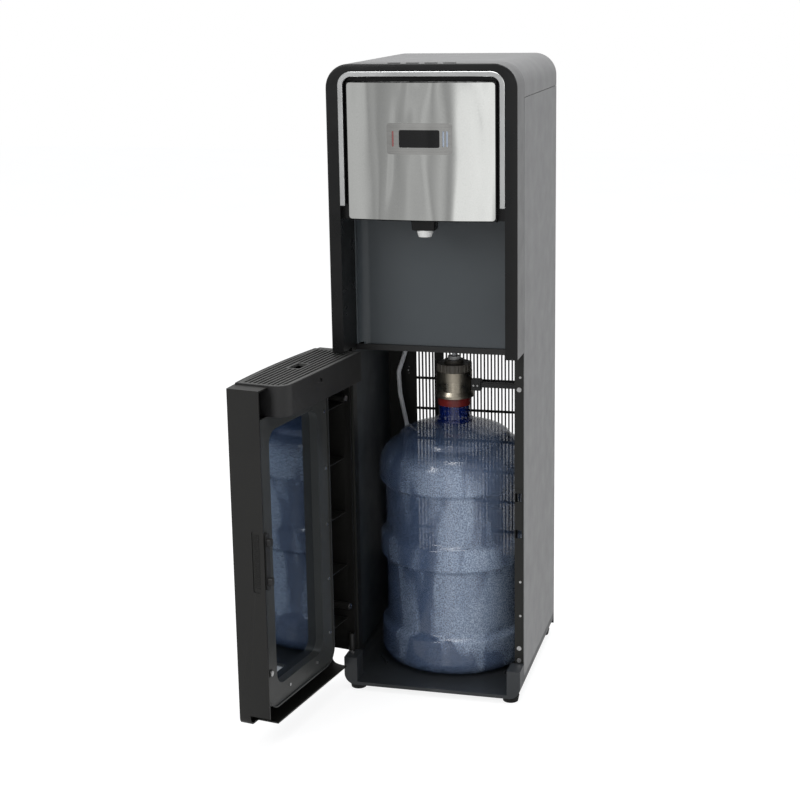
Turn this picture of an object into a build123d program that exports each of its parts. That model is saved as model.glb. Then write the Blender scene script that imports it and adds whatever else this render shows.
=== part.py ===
"""Bottom load water cooler: a tall cabinet with a bottle bay below, an alcove with one spout
above it, and a hinged door that carries the drip tray.

Frame: millimetres, +Z up, front towards -Y. The origin is on the floor, under the centre of the
cabinet's footprint. The door is drawn shut and then swung to the open angle it rests at.
"""

from build123d import *
from math import radians, sqrt, tan
import os

os.makedirs("parts", exist_ok=True)

# ---------------------------------------------------------------- cabinet sizes
width = 310.0
height = 1075.0
corner_radius = 38.0
foot_height = 10.0
wall = 2.5
sheet = 1.2
seam = 0.6
fit_gap = 0.4

# ---------------------------------------------------------------- bottle in its bay
bottle_groove = 6.0
bottle_wall = 1.5
body_height = 378.0
shoulder_height = 55.0
neck_height = 41.0
neck_radius = 27.5
bottle_x = 4.0
side_clearance = 21.0
front_clearance = 9.0
rear_clearance = 6.0
bay_headroom = 29.0

# ---------------------------------------------------------------- front module
band_depth = 60.0
module_rise = 4.0
bezel_thickness = 3.0
bezel_round = 2.0
jamb_width = 20.0
top_border = 12.0
opening_radius = 22.0
alcove_depth = 98.0
trim_width = 8.0
trim_lap = 20.0
trim_depth = 8.0
trim_proud = 1.0
skirt_drop = 56.0

# ---------------------------------------------------------------- fascia and spout
fascia_margin = 15.0
fascia_gap = 17.0
fascia_height = 216.0
fascia_rise = 9.0
plate_thickness = 1.2
plate_corner = 5.0
housing_border = 2.0
flange_setback = 14.0
display_width = 106.0
display_height = 49.0
display_drop = 87.0
window_width = 66.0
window_height = 28.0
lamp_width = 3.0
lamp_height = 25.0
lamp_inset = 8.0
lamp_pitch = 6.0
spout_width = 41.0
spout_length = 32.0
spout_drop = 17.0
spout_setback = 22.0
nozzle_radius = 13.0
nozzle_drop = 11.0
nozzle_bore = 4.0

# ---------------------------------------------------------------- push buttons
button_count = 4
button_pitch = 30.0
button_width = 20.0
button_length = 8.0
button_setback = 14.0
button_proud = 1.0
button_travel = 1.4
button_lip = 1.6
board_thickness = 1.2

# ---------------------------------------------------------------- base, posts and shelf
base_setback = 22.0
base_top = 38.0
base_wall = 3.0
floor_thickness = 6.0
base_radius = 20.0
rib_gap = 6.0
rim_rib = (3.0, 30.0, 5.0)
drain_margin = 29.0
drain_rise = 10.0
cheek_width = 23.0
cheek_top = 60.0
foot_radius = 15.0
foot_taper = 2.0
foot_inset = 20.0
post_face = 16.4
post_depth = 22.0
post_screw_radius = 4.0
post_screw_proud = 1.3
liner_thickness = 1.5
shelf_thickness = 10.0
rear_gap = 22.0
rear_return = 12.0

# ---------------------------------------------------------------- door and tray
door_bottom = 45.0
door_gap = 6.0
door_depth = 55.5
door_rise = 8.0
door_corner = 38.0
door_free_corner = 12.0
hinge_inset = 6.0
hinge_setback = 49.5
hinge_pin_radius = 2.5
hinge_clearance = 0.08
hinge_boss = 5.5
open_angle = 100.0
notch_radius = 34.0
notch_gap = 3.0
tray_hinge_margin = 17.0
tray_free_margin = 29.0
tray_reach = 86.0
tray_depth = 47.0
tray_wall = 2.0
tray_rim = 2.4
tray_corner = 25.0
rib_pitch = 8.0
rib_slot = 5.0
bar_pitch = 45.0
bar_width = 3.0
float_hole = (34.0, 20.0)
float_place = (-10.0, 37.0)
overflow_place = (144.0, 34.0)
overflow_size = (9.0, 6.0)
land_margin = 81.0
land_rise = 28.0
land_setback = 50.0
land_corner = 30.0
bead_inset = 15.0
bead_width = 2.0
bead_rise = 1.6
pane_hinge_border = 35.0
pane_free_margin = 33.0
pane_low_border = 33.0
pane_high_border = 25.0
pane_corner = 22.0
pane_setback = 38.0
pane_thickness = 3.0
web_first = 47.0
web_pitch = 96.75
web_count = 5
grip_width = 14.0
grip_depth = 1.2
grip_pitch = 3.0
boss_radius = 6.0
land_screw_radius = 2.6
boss_screw_radius = 4.4
catch_bottom = 278.0
catch_height = 94.0
catch_inset = 9.5
roller_width = 9.0
roller_height = 12.0

# ---------------------------------------------------------------- cap and probe
cap_radius = 29.0
cap_height = 17.0
cap_thickness = 4.0
collar_radius = 31.5
collar_height = 45.0
knob_height = 14.0
stem_height = 6.0
stem_radius = 17.0
flute_count = 24
flute_radius = 2.2
fitting_radius = 11.0
fitting_height = 6.0
tube_radius = 4.0
dip_radius = 3.5
arm_block = (17.0, 14.0, 20.0)
arm_bar = 9.0
arm_plate = (44.0, 30.0, 2.0)
arm_pin_radius = 1.6

# ---------------------------------------------------------------- rear and inside
grid_margin = 23.0
grid_low_lap = 25.0
grid_high_lap = 29.0
wire_pitch = 6.5
wire_size = 1.5
coil_radius = 2.5
coil_pitch = 58.0
coil_first = 135.0
coil_runs = 13
coil_setback = 11.0
coil_bend = 24.0
clip_inset = 5.0
clip_width = 4.0
clip_height = 9.0
clip_runs = (0, 4, 7)
inlet_inset = 22.0
outlet_margin = 9.0
outlet_level = 700.0
bay_window_bottom = 150.0
bay_window_drop = 7.0
bay_window_left_margin = 55.0
bay_window_right_margin = 37.0
small_window_width = 34.0
mullion_width = 17.0
vent_radius = 1.5
vent_places = ((14.0, 79.0), (15.0, 86.0), (14.0, 91.0))
louvre_drop = 59.0
louvre_pitch = 9.0
louvre_size = (150.0, 4.0)
louvre_count = 7

# ---------------------------------------------------------------- cooling parts inside
compressor_radius = 62.0
compressor_wall = 4.0
motor_radius = 36.0
motor_gap = 30.0
mount_plate = (128.0, 94.0, 3.0)
grommet_radius = 8.0
grommet_height = 10.0
cold_radius = 66.0
hot_radius = 48.0
tank_headroom = 95.9
bracket_thickness = 1.6
bracket_flange = 12.0
bracket_gap = 38.0
bracket_drop = 13.0
pump_side = 40.0
pump_base = 18.0
pump_radius = 18.0
pump_height = 60.0
line_radius = 3.5
line_bend = 14.0
board_size = (80.0, 100.0)
board_gap = 34.0
board_standoff = 9.0
board_stud = 3.0

# ---------------------------------------------------------------- switch and lead entry
switch_margin = 55.0
switch_drop = 79.0
switch_width = 13.0
switch_height = 20.0
rocker_radius = 8.0
rocker_width = 9.6
rocker_tilt = 7.0
lead_drop = 55.0
bush_radius = 7.6
bush_lip = 3.0
lead_radius = 3.5

# ---------------------------------------------------------------- worked-out places
bottle_radius = width / 2 - side_clearance
depth = band_depth + front_clearance + 2 * bottle_radius + rear_clearance + rear_gap
front = -depth / 2
rear = depth / 2
base_front = front + base_setback
band_back = front + band_depth
floor_top = foot_height + floor_thickness
splash_face = front + alcove_depth
inner_half = width / 2 - sheet
liner_face = inner_half - liner_thickness
rear_sheet = rear - rear_gap
door_back = front + door_depth

# Levels from the bottle upwards.
bottle_y = band_back + front_clearance + bottle_radius
bottle_base = floor_top
neck_top = body_height + shoulder_height + neck_height
mouth = bottle_base + neck_top
cap_top = mouth + cap_thickness
cap_bottom = cap_top - cap_height
collar_bottom = cap_top - 2
collar_top = collar_bottom + collar_height
knob_top = collar_top + knob_height
fitting_bottom = knob_top + stem_height
fitting_top = fitting_bottom + fitting_height
shelf_bottom = fitting_top + bay_headroom
shelf_top = shelf_bottom + shelf_thickness
module_bottom = shelf_top + module_rise
cover_bottom = height - skirt_drop

# Front module.
opening_width = width - 2 * jamb_width
opening_top = height - top_border
fascia_width = opening_width - 2 * fascia_margin
fascia_top = opening_top - fascia_gap
fascia_bottom = fascia_top - fascia_height
trim_bottom = fascia_bottom + trim_lap
display_level = fascia_top - display_drop

# Door and tray.
door_top = module_bottom - door_gap
tray_left = -width / 2 + tray_hinge_margin
tray_right = width / 2 - tray_free_margin
tray_back = front + tray_reach
tray_bottom = door_top - tray_depth
land_left = -width / 2 + land_margin
land_bottom = door_bottom + land_rise
pane_left = land_left + pane_hinge_border
pane_right = width / 2 - pane_free_margin
pane_bottom = land_bottom + pane_low_border
pane_top = tray_bottom - pane_high_border
web_levels = [tray_bottom - web_first - i * web_pitch for i in reversed(range(web_count))]
catch_x = width / 2 - catch_inset
roller_places = [(catch_x, catch_bottom + share * catch_height) for share in (0.16, 0.84)]
hinge_x = -width / 2 + hinge_inset
hinge_y = front + hinge_setback

# Condenser and the rear sheet's openings.
grid_half = width / 2 - grid_margin
coil_y = rear - coil_setback
coil_last = coil_first + (coil_runs - 1) * coil_pitch
grid_bottom = coil_first - grid_low_lap
grid_top = coil_last + grid_high_lap
clip_x = grid_half - clip_inset
coil_inlet = (-grid_half + inlet_inset, coil_last)
coil_outlet = (width / 2 - outlet_margin, outlet_level)
bay_window_top = shelf_bottom - bay_window_drop
bay_window_left = -width / 2 + bay_window_left_margin
bay_window_right = width / 2 - bay_window_right_margin
mullion_left = bay_window_left + small_window_width
mullion_right = mullion_left + mullion_width
switch_x = width / 2 - switch_margin
switch_level = cover_bottom - switch_drop
lead_level = switch_level - lead_drop

# Parts inside, set out from the sheets that hold them; the compressor fills its space.
mount_level = shelf_top + grommet_height
housing_low = fascia_bottom - housing_border
bracket_level = housing_low - bracket_drop
bracket_top = bracket_level + bracket_thickness
compressor_height = bracket_level - bracket_gap - mount_level
tank_height = height - wall - tank_headroom - bracket_top
compressor_place = (compressor_radius + 14 - inner_half, rear_sheet - compressor_radius - 38.5)
cold_place = (cold_radius + 17.8 - inner_half, rear_sheet - cold_radius - 22.5)
hot_place = (inner_half - hot_radius - 12, rear_sheet - hot_radius - 72.5)
pump_place = (inner_half - 83.8, splash_face + 34.5)
drain_hole = (-width / 2 + 50, rear_sheet - 38)
tank_drain = (cold_place[0] - 20, cold_place[1] + 33)
door_pose = (
    Location((hinge_x, hinge_y, 0)) * Location((0, 0, 0), (0, 0, -open_angle))
    * Location((-hinge_x, -hinge_y, 0))
)


# ---------------------------------------------------------------- planes and outlines
def upright(y):
    """Plane across the cooler at depth y: its x is X, its y is Z, and it faces the front."""
    return Plane(origin=(0, y, 0), x_dir=(1, 0, 0), z_dir=(0, -1, 0))


def level(z):
    """Horizontal plane at height z, facing up."""
    return Plane.XY.offset(z)


def sideways(x):
    """Plane along the cooler at x: its x is Y, its y is Z, and it faces the right."""
    return Plane(origin=(x, 0, 0), x_dir=(0, 1, 0), z_dir=(1, 0, 0))


def arch(span, bottom, top, radius, mode=Mode.ADD):
    """Upright outline with its two top corners rounded."""
    with BuildLine() as outline:
        FilletPolyline(
            (-span / 2, bottom), (-span / 2, top), (span / 2, top), (span / 2, bottom), radius=radius
        )
        Line((span / 2, bottom), (-span / 2, bottom))
    make_face(outline.edges(), mode=mode)


def cradle(span, bottom, top, left_radius, right_radius=None, mode=Mode.ADD):
    """Upright outline with its two bottom corners rounded, the right one by its own radius if given."""
    right_radius = right_radius or left_radius
    with BuildLine() as outline:
        FilletPolyline((-span / 2, top), (-span / 2, bottom), (0, bottom), radius=left_radius)
        FilletPolyline((0, bottom), (span / 2, bottom), (span / 2, top), radius=right_radius)
        Line((span / 2, top), (-span / 2, top))
    make_face(outline.edges(), mode=mode)


def block(x_low, x_high, y_low, y_high, mode=Mode.ADD):
    """Rectangle between two corners of the sketch in hand."""
    with Locations(((x_low + x_high) / 2, (y_low + y_high) / 2)):
        Rectangle(x_high - x_low, y_high - y_low, mode=mode)


def bow(x, half_span, rise, edge, inset=0.0):
    """Depth of a bowed front at x: an arc that stands rise proud of edge at its middle."""
    radius = (half_span**2 + rise**2) / (2 * rise)
    return edge - rise + radius - sqrt((radius - inset) ** 2 - x**2)


def bowed_plan(x_low, x_high, back, half_span, rise, edge, inset=0.0, mode=Mode.ADD):
    """Plan outline with a bowed front and straight sides and back."""
    middle = (x_low + x_high) / 2
    front_arc = [(x, bow(x, half_span, rise, edge, inset)) for x in (x_low, middle, x_high)]
    with BuildLine() as outline:
        ThreePointArc(*front_arc)
        Polyline(front_arc[2], (x_high, back), (x_low, back), front_arc[0])
    make_face(outline.edges(), mode=mode)


def door_plan(x_low, x_high, back, inset=0.0, mode=Mode.ADD):
    """Plan outline behind the door's bowed front."""
    bowed_plan(x_low, x_high, back, width / 2, door_rise, front, inset, mode)


def fascia_plan(x_low, x_high, back, inset=0.0, mode=Mode.ADD):
    """Plan outline behind the fascia's bowed front."""
    bowed_plan(x_low, x_high, back, fascia_width / 2, fascia_rise, front, inset, mode)


def finish(piece, label):
    """Names a piece and writes it to its own file."""
    piece.part.label = label
    export_step(piece.part, f"parts/{label}.step")


def hang(piece, label):
    """Swings a door piece to the open angle, names it and writes it."""
    piece.part = piece.part.moved(door_pose)
    finish(piece, label)


# ================================================================ base
# Floor pan, open at the front, with a raised cheek at each front corner.
with BuildPart() as base_pan:
    with BuildSketch(upright(base_front)):
        cradle(width, foot_height, base_top, base_radius)
        cradle(width - 2 * base_wall, floor_top, base_top, base_radius - base_wall, mode=Mode.SUBTRACT)
    extrude(amount=-(rear - base_front))
    with BuildSketch(upright(base_front)):
        cradle(width, foot_height, cheek_top, base_radius)
        block(-width / 2 + cheek_width, width / 2 - cheek_width, floor_top, cheek_top, Mode.SUBTRACT)
    extrude(amount=-(band_back - base_front))
    with BuildSketch(upright(rear - base_wall)):
        block(-width / 2, width / 2, floor_top, base_top)
    extrude(amount=-base_wall)
    # Low ribs that keep the bottle's rim central.
    for angle in (35, 145, 215, 325):
        with BuildSketch(level(floor_top)):
            with Locations(Location((bottle_x, bottle_y, 0), (0, 0, angle))):
                with Locations((bottle_radius + rib_gap, 0)):
                    Rectangle(rim_rib[0], rim_rib[1])
        extrude(amount=rim_rib[2])
    # Outlet for the drain hose through the rear wall.
    drain_x = -width / 2 + drain_margin
    drain_level = floor_top + drain_rise
    with BuildSketch(upright(rear - base_wall - 1)):
        with Locations((drain_x, drain_level)):
            Circle(tube_radius + fit_gap)
    extrude(amount=-(base_wall + 2), mode=Mode.SUBTRACT)
finish(base_pan, "base_pan")

with BuildPart() as feet:
    foot_x = width / 2 - foot_inset
    foot_rear = rear - foot_inset
    foot_front = base_front + foot_inset
    with BuildSketch(level(0)):
        with Locations(*[(side * foot_x, y) for side in (-1, 1) for y in (foot_front, foot_rear)]):
            Circle(foot_radius - foot_taper)
    with BuildSketch(level(foot_height)):
        with Locations(*[(side * foot_x, y) for side in (-1, 1) for y in (foot_front, foot_rear)]):
            Circle(foot_radius)
    for lower, upper in zip(feet.pending_faces[:4], feet.pending_faces[4:]):
        loft(sections=[lower, upper])
finish(feet, "feet")

# ================================================================ cabinet sides
for side, label in ((-1, "side_panel_left"), (1, "side_panel_right")):
    outer, inner = side * width / 2, side * inner_half
    tail = side * (width / 2 - rear_return)
    with BuildPart() as side_panel:
        with BuildSketch(level(base_top)):
            with BuildLine():
                Polyline(
                    (outer, band_back + seam), (outer, rear), (tail, rear),
                    (tail, rear - sheet), (inner, rear - sheet), (inner, band_back + seam), close=True,
                )
            make_face()
        extrude(amount=cover_bottom - seam - base_top)
    finish(side_panel, label)

# Steel channels that frame the bay's doorway.
with BuildPart() as front_posts:
    for side in (-1, 1):
        out, into = side * inner_half, side * (width / 2 - post_face)
        step = side * sheet
        with BuildSketch(level(base_top)):
            with BuildLine():
                Polyline(
                    (out, band_back), (into, band_back), (into, band_back + post_depth),
                    (into + step, band_back + post_depth), (into + step, band_back + sheet),
                    (out - step, band_back + sheet), (out - step, band_back + post_depth),
                    (out, band_back + post_depth), close=True,
                )
            make_face()
        extrude(amount=cover_bottom - seam - base_top)
    # Openings that take the door catch's rollers.
    with BuildSketch(upright(band_back - 1)):
        with Locations(*roller_places):
            Rectangle(roller_width + 2, roller_height + 3)
    extrude(amount=-(sheet + 2), mode=Mode.SUBTRACT)
finish(front_posts, "front_posts")

with BuildPart() as side_liners:
    with BuildSketch(level(base_top)):
        for side in (-1, 1):
            low, high = sorted((side * inner_half, side * liner_face))
            block(low, high, band_back + post_depth + seam, rear_sheet - seam)
    extrude(amount=shelf_bottom - base_top)
finish(side_liners, "side_liners")

with BuildPart() as mid_shelf:
    with BuildSketch(level(shelf_bottom)):
        block(-inner_half, inner_half, splash_face - wall, rear_sheet)
        with Locations((bottle_x, bottle_y), drain_hole):
            Circle(tube_radius + fit_gap, mode=Mode.SUBTRACT)
    extrude(amount=shelf_thickness)
finish(mid_shelf, "mid_shelf")

# ================================================================ rear
with BuildPart() as rear_frame:
    with BuildSketch(upright(rear_sheet)):
        block(-inner_half, inner_half, base_top, shelf_top)
        block(bay_window_left, mullion_left, bay_window_bottom, bay_window_top, Mode.SUBTRACT)
        block(mullion_right, bay_window_right, bay_window_bottom, bay_window_top, Mode.SUBTRACT)
        with Locations(*[(bay_window_left - x, bay_window_top - z) for x, z in vent_places]):
            Circle(vent_radius, mode=Mode.SUBTRACT)
    extrude(amount=-sheet)
    # Clips that hold the condenser's runs.
    with BuildSketch(upright(rear_sheet + sheet)):
        for run in clip_runs:
            for side in (-1, 1):
                with Locations((side * clip_x, coil_first + run * coil_pitch)):
                    Rectangle(clip_width, clip_height)
    extrude(amount=-(coil_y - rear_sheet - sheet))
    with BuildSketch(sideways(-grid_half)):
        with Locations(*[(coil_y, coil_first + run * coil_pitch) for run in clip_runs]):
            Circle(coil_radius)
    extrude(amount=2 * grid_half, mode=Mode.SUBTRACT)
finish(rear_frame, "rear_frame")

with BuildPart() as rear_cover:
    with BuildSketch(upright(rear_sheet)):
        block(-inner_half, inner_half, shelf_top, cover_bottom - seam)
        # Louvres above the condenser.
        with Locations((0, cover_bottom - louvre_drop)):
            with GridLocations(0, louvre_pitch, 1, louvre_count):
                SlotOverall(*louvre_size, mode=Mode.SUBTRACT)
    extrude(amount=-sheet)
    with BuildSketch(upright(rear_sheet + sheet)):
        block(-inner_half, inner_half, cover_bottom - seam - sheet, cover_bottom - seam)
    extrude(amount=-(rear_gap - 2 * sheet))
    # Cut-out for the rocker switch and holes for the lead's bush.
    with BuildSketch(upright(rear_sheet - 1)):
        with Locations((switch_x, switch_level)):
            Rectangle(switch_width + 2 * fit_gap, switch_height + 2 * fit_gap)
        with Locations((switch_x, lead_level)):
            Circle(bush_radius + fit_gap)
        # Where the condenser's two ends pass inside.
        with Locations(coil_inlet, coil_outlet):
            Circle(coil_radius + fit_gap)
    extrude(amount=-(sheet + 2), mode=Mode.SUBTRACT)
finish(rear_cover, "rear_cover")

# ================================================================ front module
# Grey band that wraps the module's sides and top.
button_y = front + button_setback
button_places = [((i - (button_count - 1) / 2) * button_pitch, button_y) for i in range(button_count)]
with BuildPart() as front_frame:
    with BuildSketch(upright(front + bezel_thickness)):
        arch(width, module_bottom, height, corner_radius)
        arch(width - 2 * wall, module_bottom, height - wall, corner_radius - wall, Mode.SUBTRACT)
    extrude(amount=-(band_depth - bezel_thickness))
    with BuildSketch(level(height + 1)):
        with Locations(*button_places):
            Rectangle(button_width + 2 * fit_gap, button_length + 2 * fit_gap)
    extrude(amount=-(wall + 2), mode=Mode.SUBTRACT)
finish(front_frame, "front_frame")

# Black face with the jambs that run back to the splash panel.
with BuildPart() as bezel:
    with BuildSketch(upright(front)):
        arch(width, module_bottom, height, corner_radius)
        arch(opening_width, module_bottom, opening_top, opening_radius, Mode.SUBTRACT)
    extrude(amount=-bezel_thickness)
    rim = bezel.faces().sort_by(Axis.Y)[0].edges().filter_by(
        lambda e: e.center().Z > module_bottom + 1
        and (abs(e.center().X) > opening_width / 2 + 5 or e.center().Z > opening_top + 5)
    )
    fillet(rim, bezel_round)
    with BuildSketch(upright(front + bezel_thickness)):
        arch(opening_width + 2 * wall, module_bottom, opening_top + wall, opening_radius + wall)
        arch(opening_width, module_bottom, opening_top, opening_radius, Mode.SUBTRACT)
    extrude(amount=-(alcove_depth - bezel_thickness))
    # Webs that close the hollow jambs from below; the left one lets the hinge pin through.
    with BuildSketch(level(module_bottom)):
        for side in (-1, 1):
            low, high = sorted((side * (opening_width / 2 + wall), side * (width / 2 - wall)))
            block(low, high, front + bezel_thickness, band_back)
        with Locations((hinge_x, hinge_y)):
            Circle(hinge_pin_radius + fit_gap, mode=Mode.SUBTRACT)
    extrude(amount=wall)
finish(bezel, "bezel")

with BuildPart() as chrome_trim:
    inner_span = opening_width - 2 * trim_width
    with BuildSketch(upright(front - trim_proud)):
        arch(opening_width, trim_bottom, opening_top, opening_radius)
        arch(inner_span, trim_bottom, opening_top - trim_width, opening_radius - trim_width, Mode.SUBTRACT)
    extrude(amount=-trim_depth)
    face = chrome_trim.faces().sort_by(Axis.Y)[0]
    chamfer(face.edges(), 0.6)
finish(chrome_trim, "chrome_trim")

with BuildPart() as top_cover:
    with BuildSketch(upright(band_back + seam)):
        arch(width, cover_bottom, height, corner_radius)
    extrude(amount=-(rear - band_back - seam))
    with BuildSketch(upright(band_back)):
        arch(width - 2 * wall, cover_bottom - 1, height - wall, corner_radius - wall)
    extrude(amount=-(rear - band_back - wall), mode=Mode.SUBTRACT)
finish(top_cover, "top_cover")

with BuildPart() as splash_panel:
    half = opening_width / 2
    back = splash_face + wall
    lip = splash_face - 22
    with BuildSketch(level(shelf_top)):
        with BuildLine():
            FilletPolyline((-half, lip), (-half, back), (half, back), (half, lip), radius=20)
            Line((half, lip), (half - wall, lip))
            FilletPolyline(
                (half - wall, lip), (half - wall, splash_face), (wall - half, splash_face),
                (wall - half, lip), radius=20 - wall,
            )
            Line((wall - half, lip), (-half, lip))
        make_face()
    extrude(amount=fascia_bottom - housing_border - shelf_top)
    # The wings stop above the tray's rim.
    with BuildSketch(level(shelf_top)):
        block(-half - 1, half + 1, lip - 1, splash_face - wall)
    extrude(amount=module_bottom - shelf_top, mode=Mode.SUBTRACT)
finish(splash_panel, "splash_panel")

# Moulded box behind the steel plate, with the alcove's ceiling and a flange between the jambs.
housing_high = fascia_top + housing_border
housing_half = fascia_width / 2 + housing_border
with BuildPart() as fascia_core:
    with BuildSketch(level(housing_low + wall)):
        fascia_plan(wall - housing_half, housing_half - wall, splash_face + wall + 1, plate_thickness + wall)
    extrude(amount=housing_high - housing_low - 2 * wall)

with BuildPart() as fascia_housing:
    with BuildSketch(level(housing_low)):
        fascia_plan(-housing_half, housing_half, splash_face + wall, plate_thickness)
    extrude(amount=housing_high - housing_low)
    fillet(fascia_housing.faces().sort_by(Axis.Y)[0].edges(), 2)
    with BuildSketch(upright(front + flange_setback)):
        arch(opening_width, housing_low, opening_top, opening_radius)
    extrude(amount=-wall)
    with BuildSketch(level(housing_low)):
        block(-opening_width / 2, opening_width / 2, front + flange_setback, splash_face + wall)
    extrude(amount=wall)
    add(fascia_core.part, mode=Mode.SUBTRACT)
    # Passage for the spout's tubes.
    with BuildSketch(level(housing_low - 1)):
        with Locations((0, front + spout_setback)):
            Circle(nozzle_bore + 2)
    extrude(amount=wall + 2, mode=Mode.SUBTRACT)
finish(fascia_housing, "fascia_housing")

plate_middle = (fascia_bottom + fascia_top) / 2
with BuildPart() as fascia_plate:
    with BuildSketch(level(fascia_bottom - 1)):
        fascia_plan(-fascia_width / 2 - 1, fascia_width / 2 + 1, front + 7)
        fascia_plan(-fascia_width, fascia_width, front + 60, plate_thickness, Mode.SUBTRACT)
    extrude(amount=fascia_top - fascia_bottom + 2)
    with BuildSketch(upright(front + 6)):
        with Locations((0, plate_middle)):
            RectangleRounded(fascia_width, fascia_top - fascia_bottom, plate_corner)
    extrude(amount=fascia_rise + 12, mode=Mode.INTERSECT)
finish(fascia_plate, "fascia_plate")


def fascia_pad(span, tall, radius, low_inset, high_inset, centre=(0, 0)):
    """Pad that follows the fascia's bow between two depths, as a standalone solid."""
    with BuildPart() as pad:
        with BuildSketch(level(display_level - tall)):
            fascia_plan(-span, span, front + 10, high_inset)
            fascia_plan(-span - 5, span + 5, front + 20, low_inset, Mode.SUBTRACT)
        extrude(amount=2 * tall)
        with BuildSketch(upright(front + 10)):
            with Locations((centre[0], display_level + centre[1])):
                RectangleRounded(span, tall, radius)
        extrude(amount=fascia_rise + 20, mode=Mode.INTERSECT)
    return pad.part


# Raised surround of the display, with slots for the window and the lamps.
lamp_places = [-display_width / 2 + lamp_inset + 2, display_width / 2 - lamp_inset - lamp_pitch,
               display_width / 2 - lamp_inset]
with BuildPart() as display_plate:
    add(fascia_pad(display_width, display_height, 5, 0, -1.2))
    with BuildSketch(upright(front + 10)):
        with Locations((0, display_level)):
            RectangleRounded(window_width, window_height, 3)
        with Locations(*[(x, display_level) for x in lamp_places]):
            SlotOverall(lamp_height, lamp_width, rotation=90)
    extrude(amount=fascia_rise + 20, mode=Mode.SUBTRACT)
finish(display_plate, "display_plate")

with BuildPart() as display_window:
    add(fascia_pad(window_width - fit_gap, window_height - fit_gap, 3 - fit_gap / 2, 0, -0.9))
finish(display_window, "display_window")

with BuildPart() as indicator_lamps:
    add(fascia_pad(display_width, display_height, 5, 0, -0.8))
    with BuildSketch(upright(front + 10)):
        with Locations(*[(x, display_level) for x in lamp_places]):
            SlotOverall(lamp_height - fit_gap, lamp_width - fit_gap, rotation=90)
    extrude(amount=fascia_rise + 20, mode=Mode.INTERSECT)
finish(indicator_lamps, "indicator_lamps")

spout_y = front + spout_setback
with BuildPart() as spout_housing:
    with BuildSketch(level(housing_low)):
        with Locations((0, spout_y)):
            RectangleRounded(spout_width, spout_length, 6)
    extrude(amount=-spout_drop, taper=6)
    with BuildSketch(level(housing_low)):
        with Locations((0, spout_y)):
            Circle(nozzle_bore + 2)
    extrude(amount=-spout_drop, mode=Mode.SUBTRACT)
finish(spout_housing, "spout_housing")

with BuildPart() as spout_nozzle:
    top = housing_low - spout_drop
    with BuildSketch(Plane.XZ):
        with BuildLine():
            Polyline(
                (nozzle_bore, top + 12), (nozzle_bore + 1.6, top + 12), (nozzle_bore + 1.6, top),
                (nozzle_radius, top), (nozzle_radius, top - 4), (nozzle_radius - 2.5, top - nozzle_drop),
                (nozzle_bore, top - nozzle_drop), close=True,
            )
        make_face()
    revolve(axis=Axis.Z)
spout_nozzle.part = spout_nozzle.part.moved(Location((0, spout_y, 0)))
finish(spout_nozzle, "spout_nozzle")

# ================================================================ push buttons
board_bottom = opening_top + wall
board_top = board_bottom + board_thickness
with BuildPart() as button_board:
    with BuildSketch(level(board_bottom)):
        with Locations((0, button_y)):
            Rectangle((button_count - 1) * button_pitch + button_width + 10, button_length + 8)
    extrude(amount=board_thickness)
finish(button_board, "button_board")

button_foot = board_top + button_travel + 0.2
lip_top = height - wall - 0.2
for number, (x, y) in enumerate(button_places, start=1):
    with BuildPart() as button:
        with BuildSketch(level(button_foot)):
            with Locations((x, y)):
                Rectangle(button_width + 2 * button_lip, button_length + 2 * button_lip)
        extrude(amount=lip_top - button_foot)
        with BuildSketch(level(lip_top)):
            with Locations((x, y)):
                RectangleRounded(button_width, button_length, 1.5)
        extrude(amount=height + button_proud - lip_top)
        fillet(button.faces().sort_by(Axis.Z)[-1].edges(), 0.5)
    finish(button, f"button_{number}")

# ================================================================ door, drawn shut
with BuildPart() as door_hollow:
    with BuildSketch(level(door_bottom)):
        door_plan(-width / 2, width / 2, door_back + 1, wall)
    extrude(amount=door_top - door_bottom)
    with BuildSketch(upright(door_back + 1)):
        cradle(
            width - 2 * wall, door_bottom + wall, door_top - wall,
            door_corner - wall, door_free_corner - wall,
        )
    extrude(amount=door_depth + door_rise + 5, mode=Mode.INTERSECT)

# Stiffening webs between the hinge side and the raised land, kept inside the skin.
with BuildPart() as door_webs:
    for web in web_levels:
        with BuildSketch(level(web)):
            door_plan(-width / 2 + 1, land_left, front + land_setback - 8, 1)
        extrude(amount=wall - 0.5)

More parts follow.
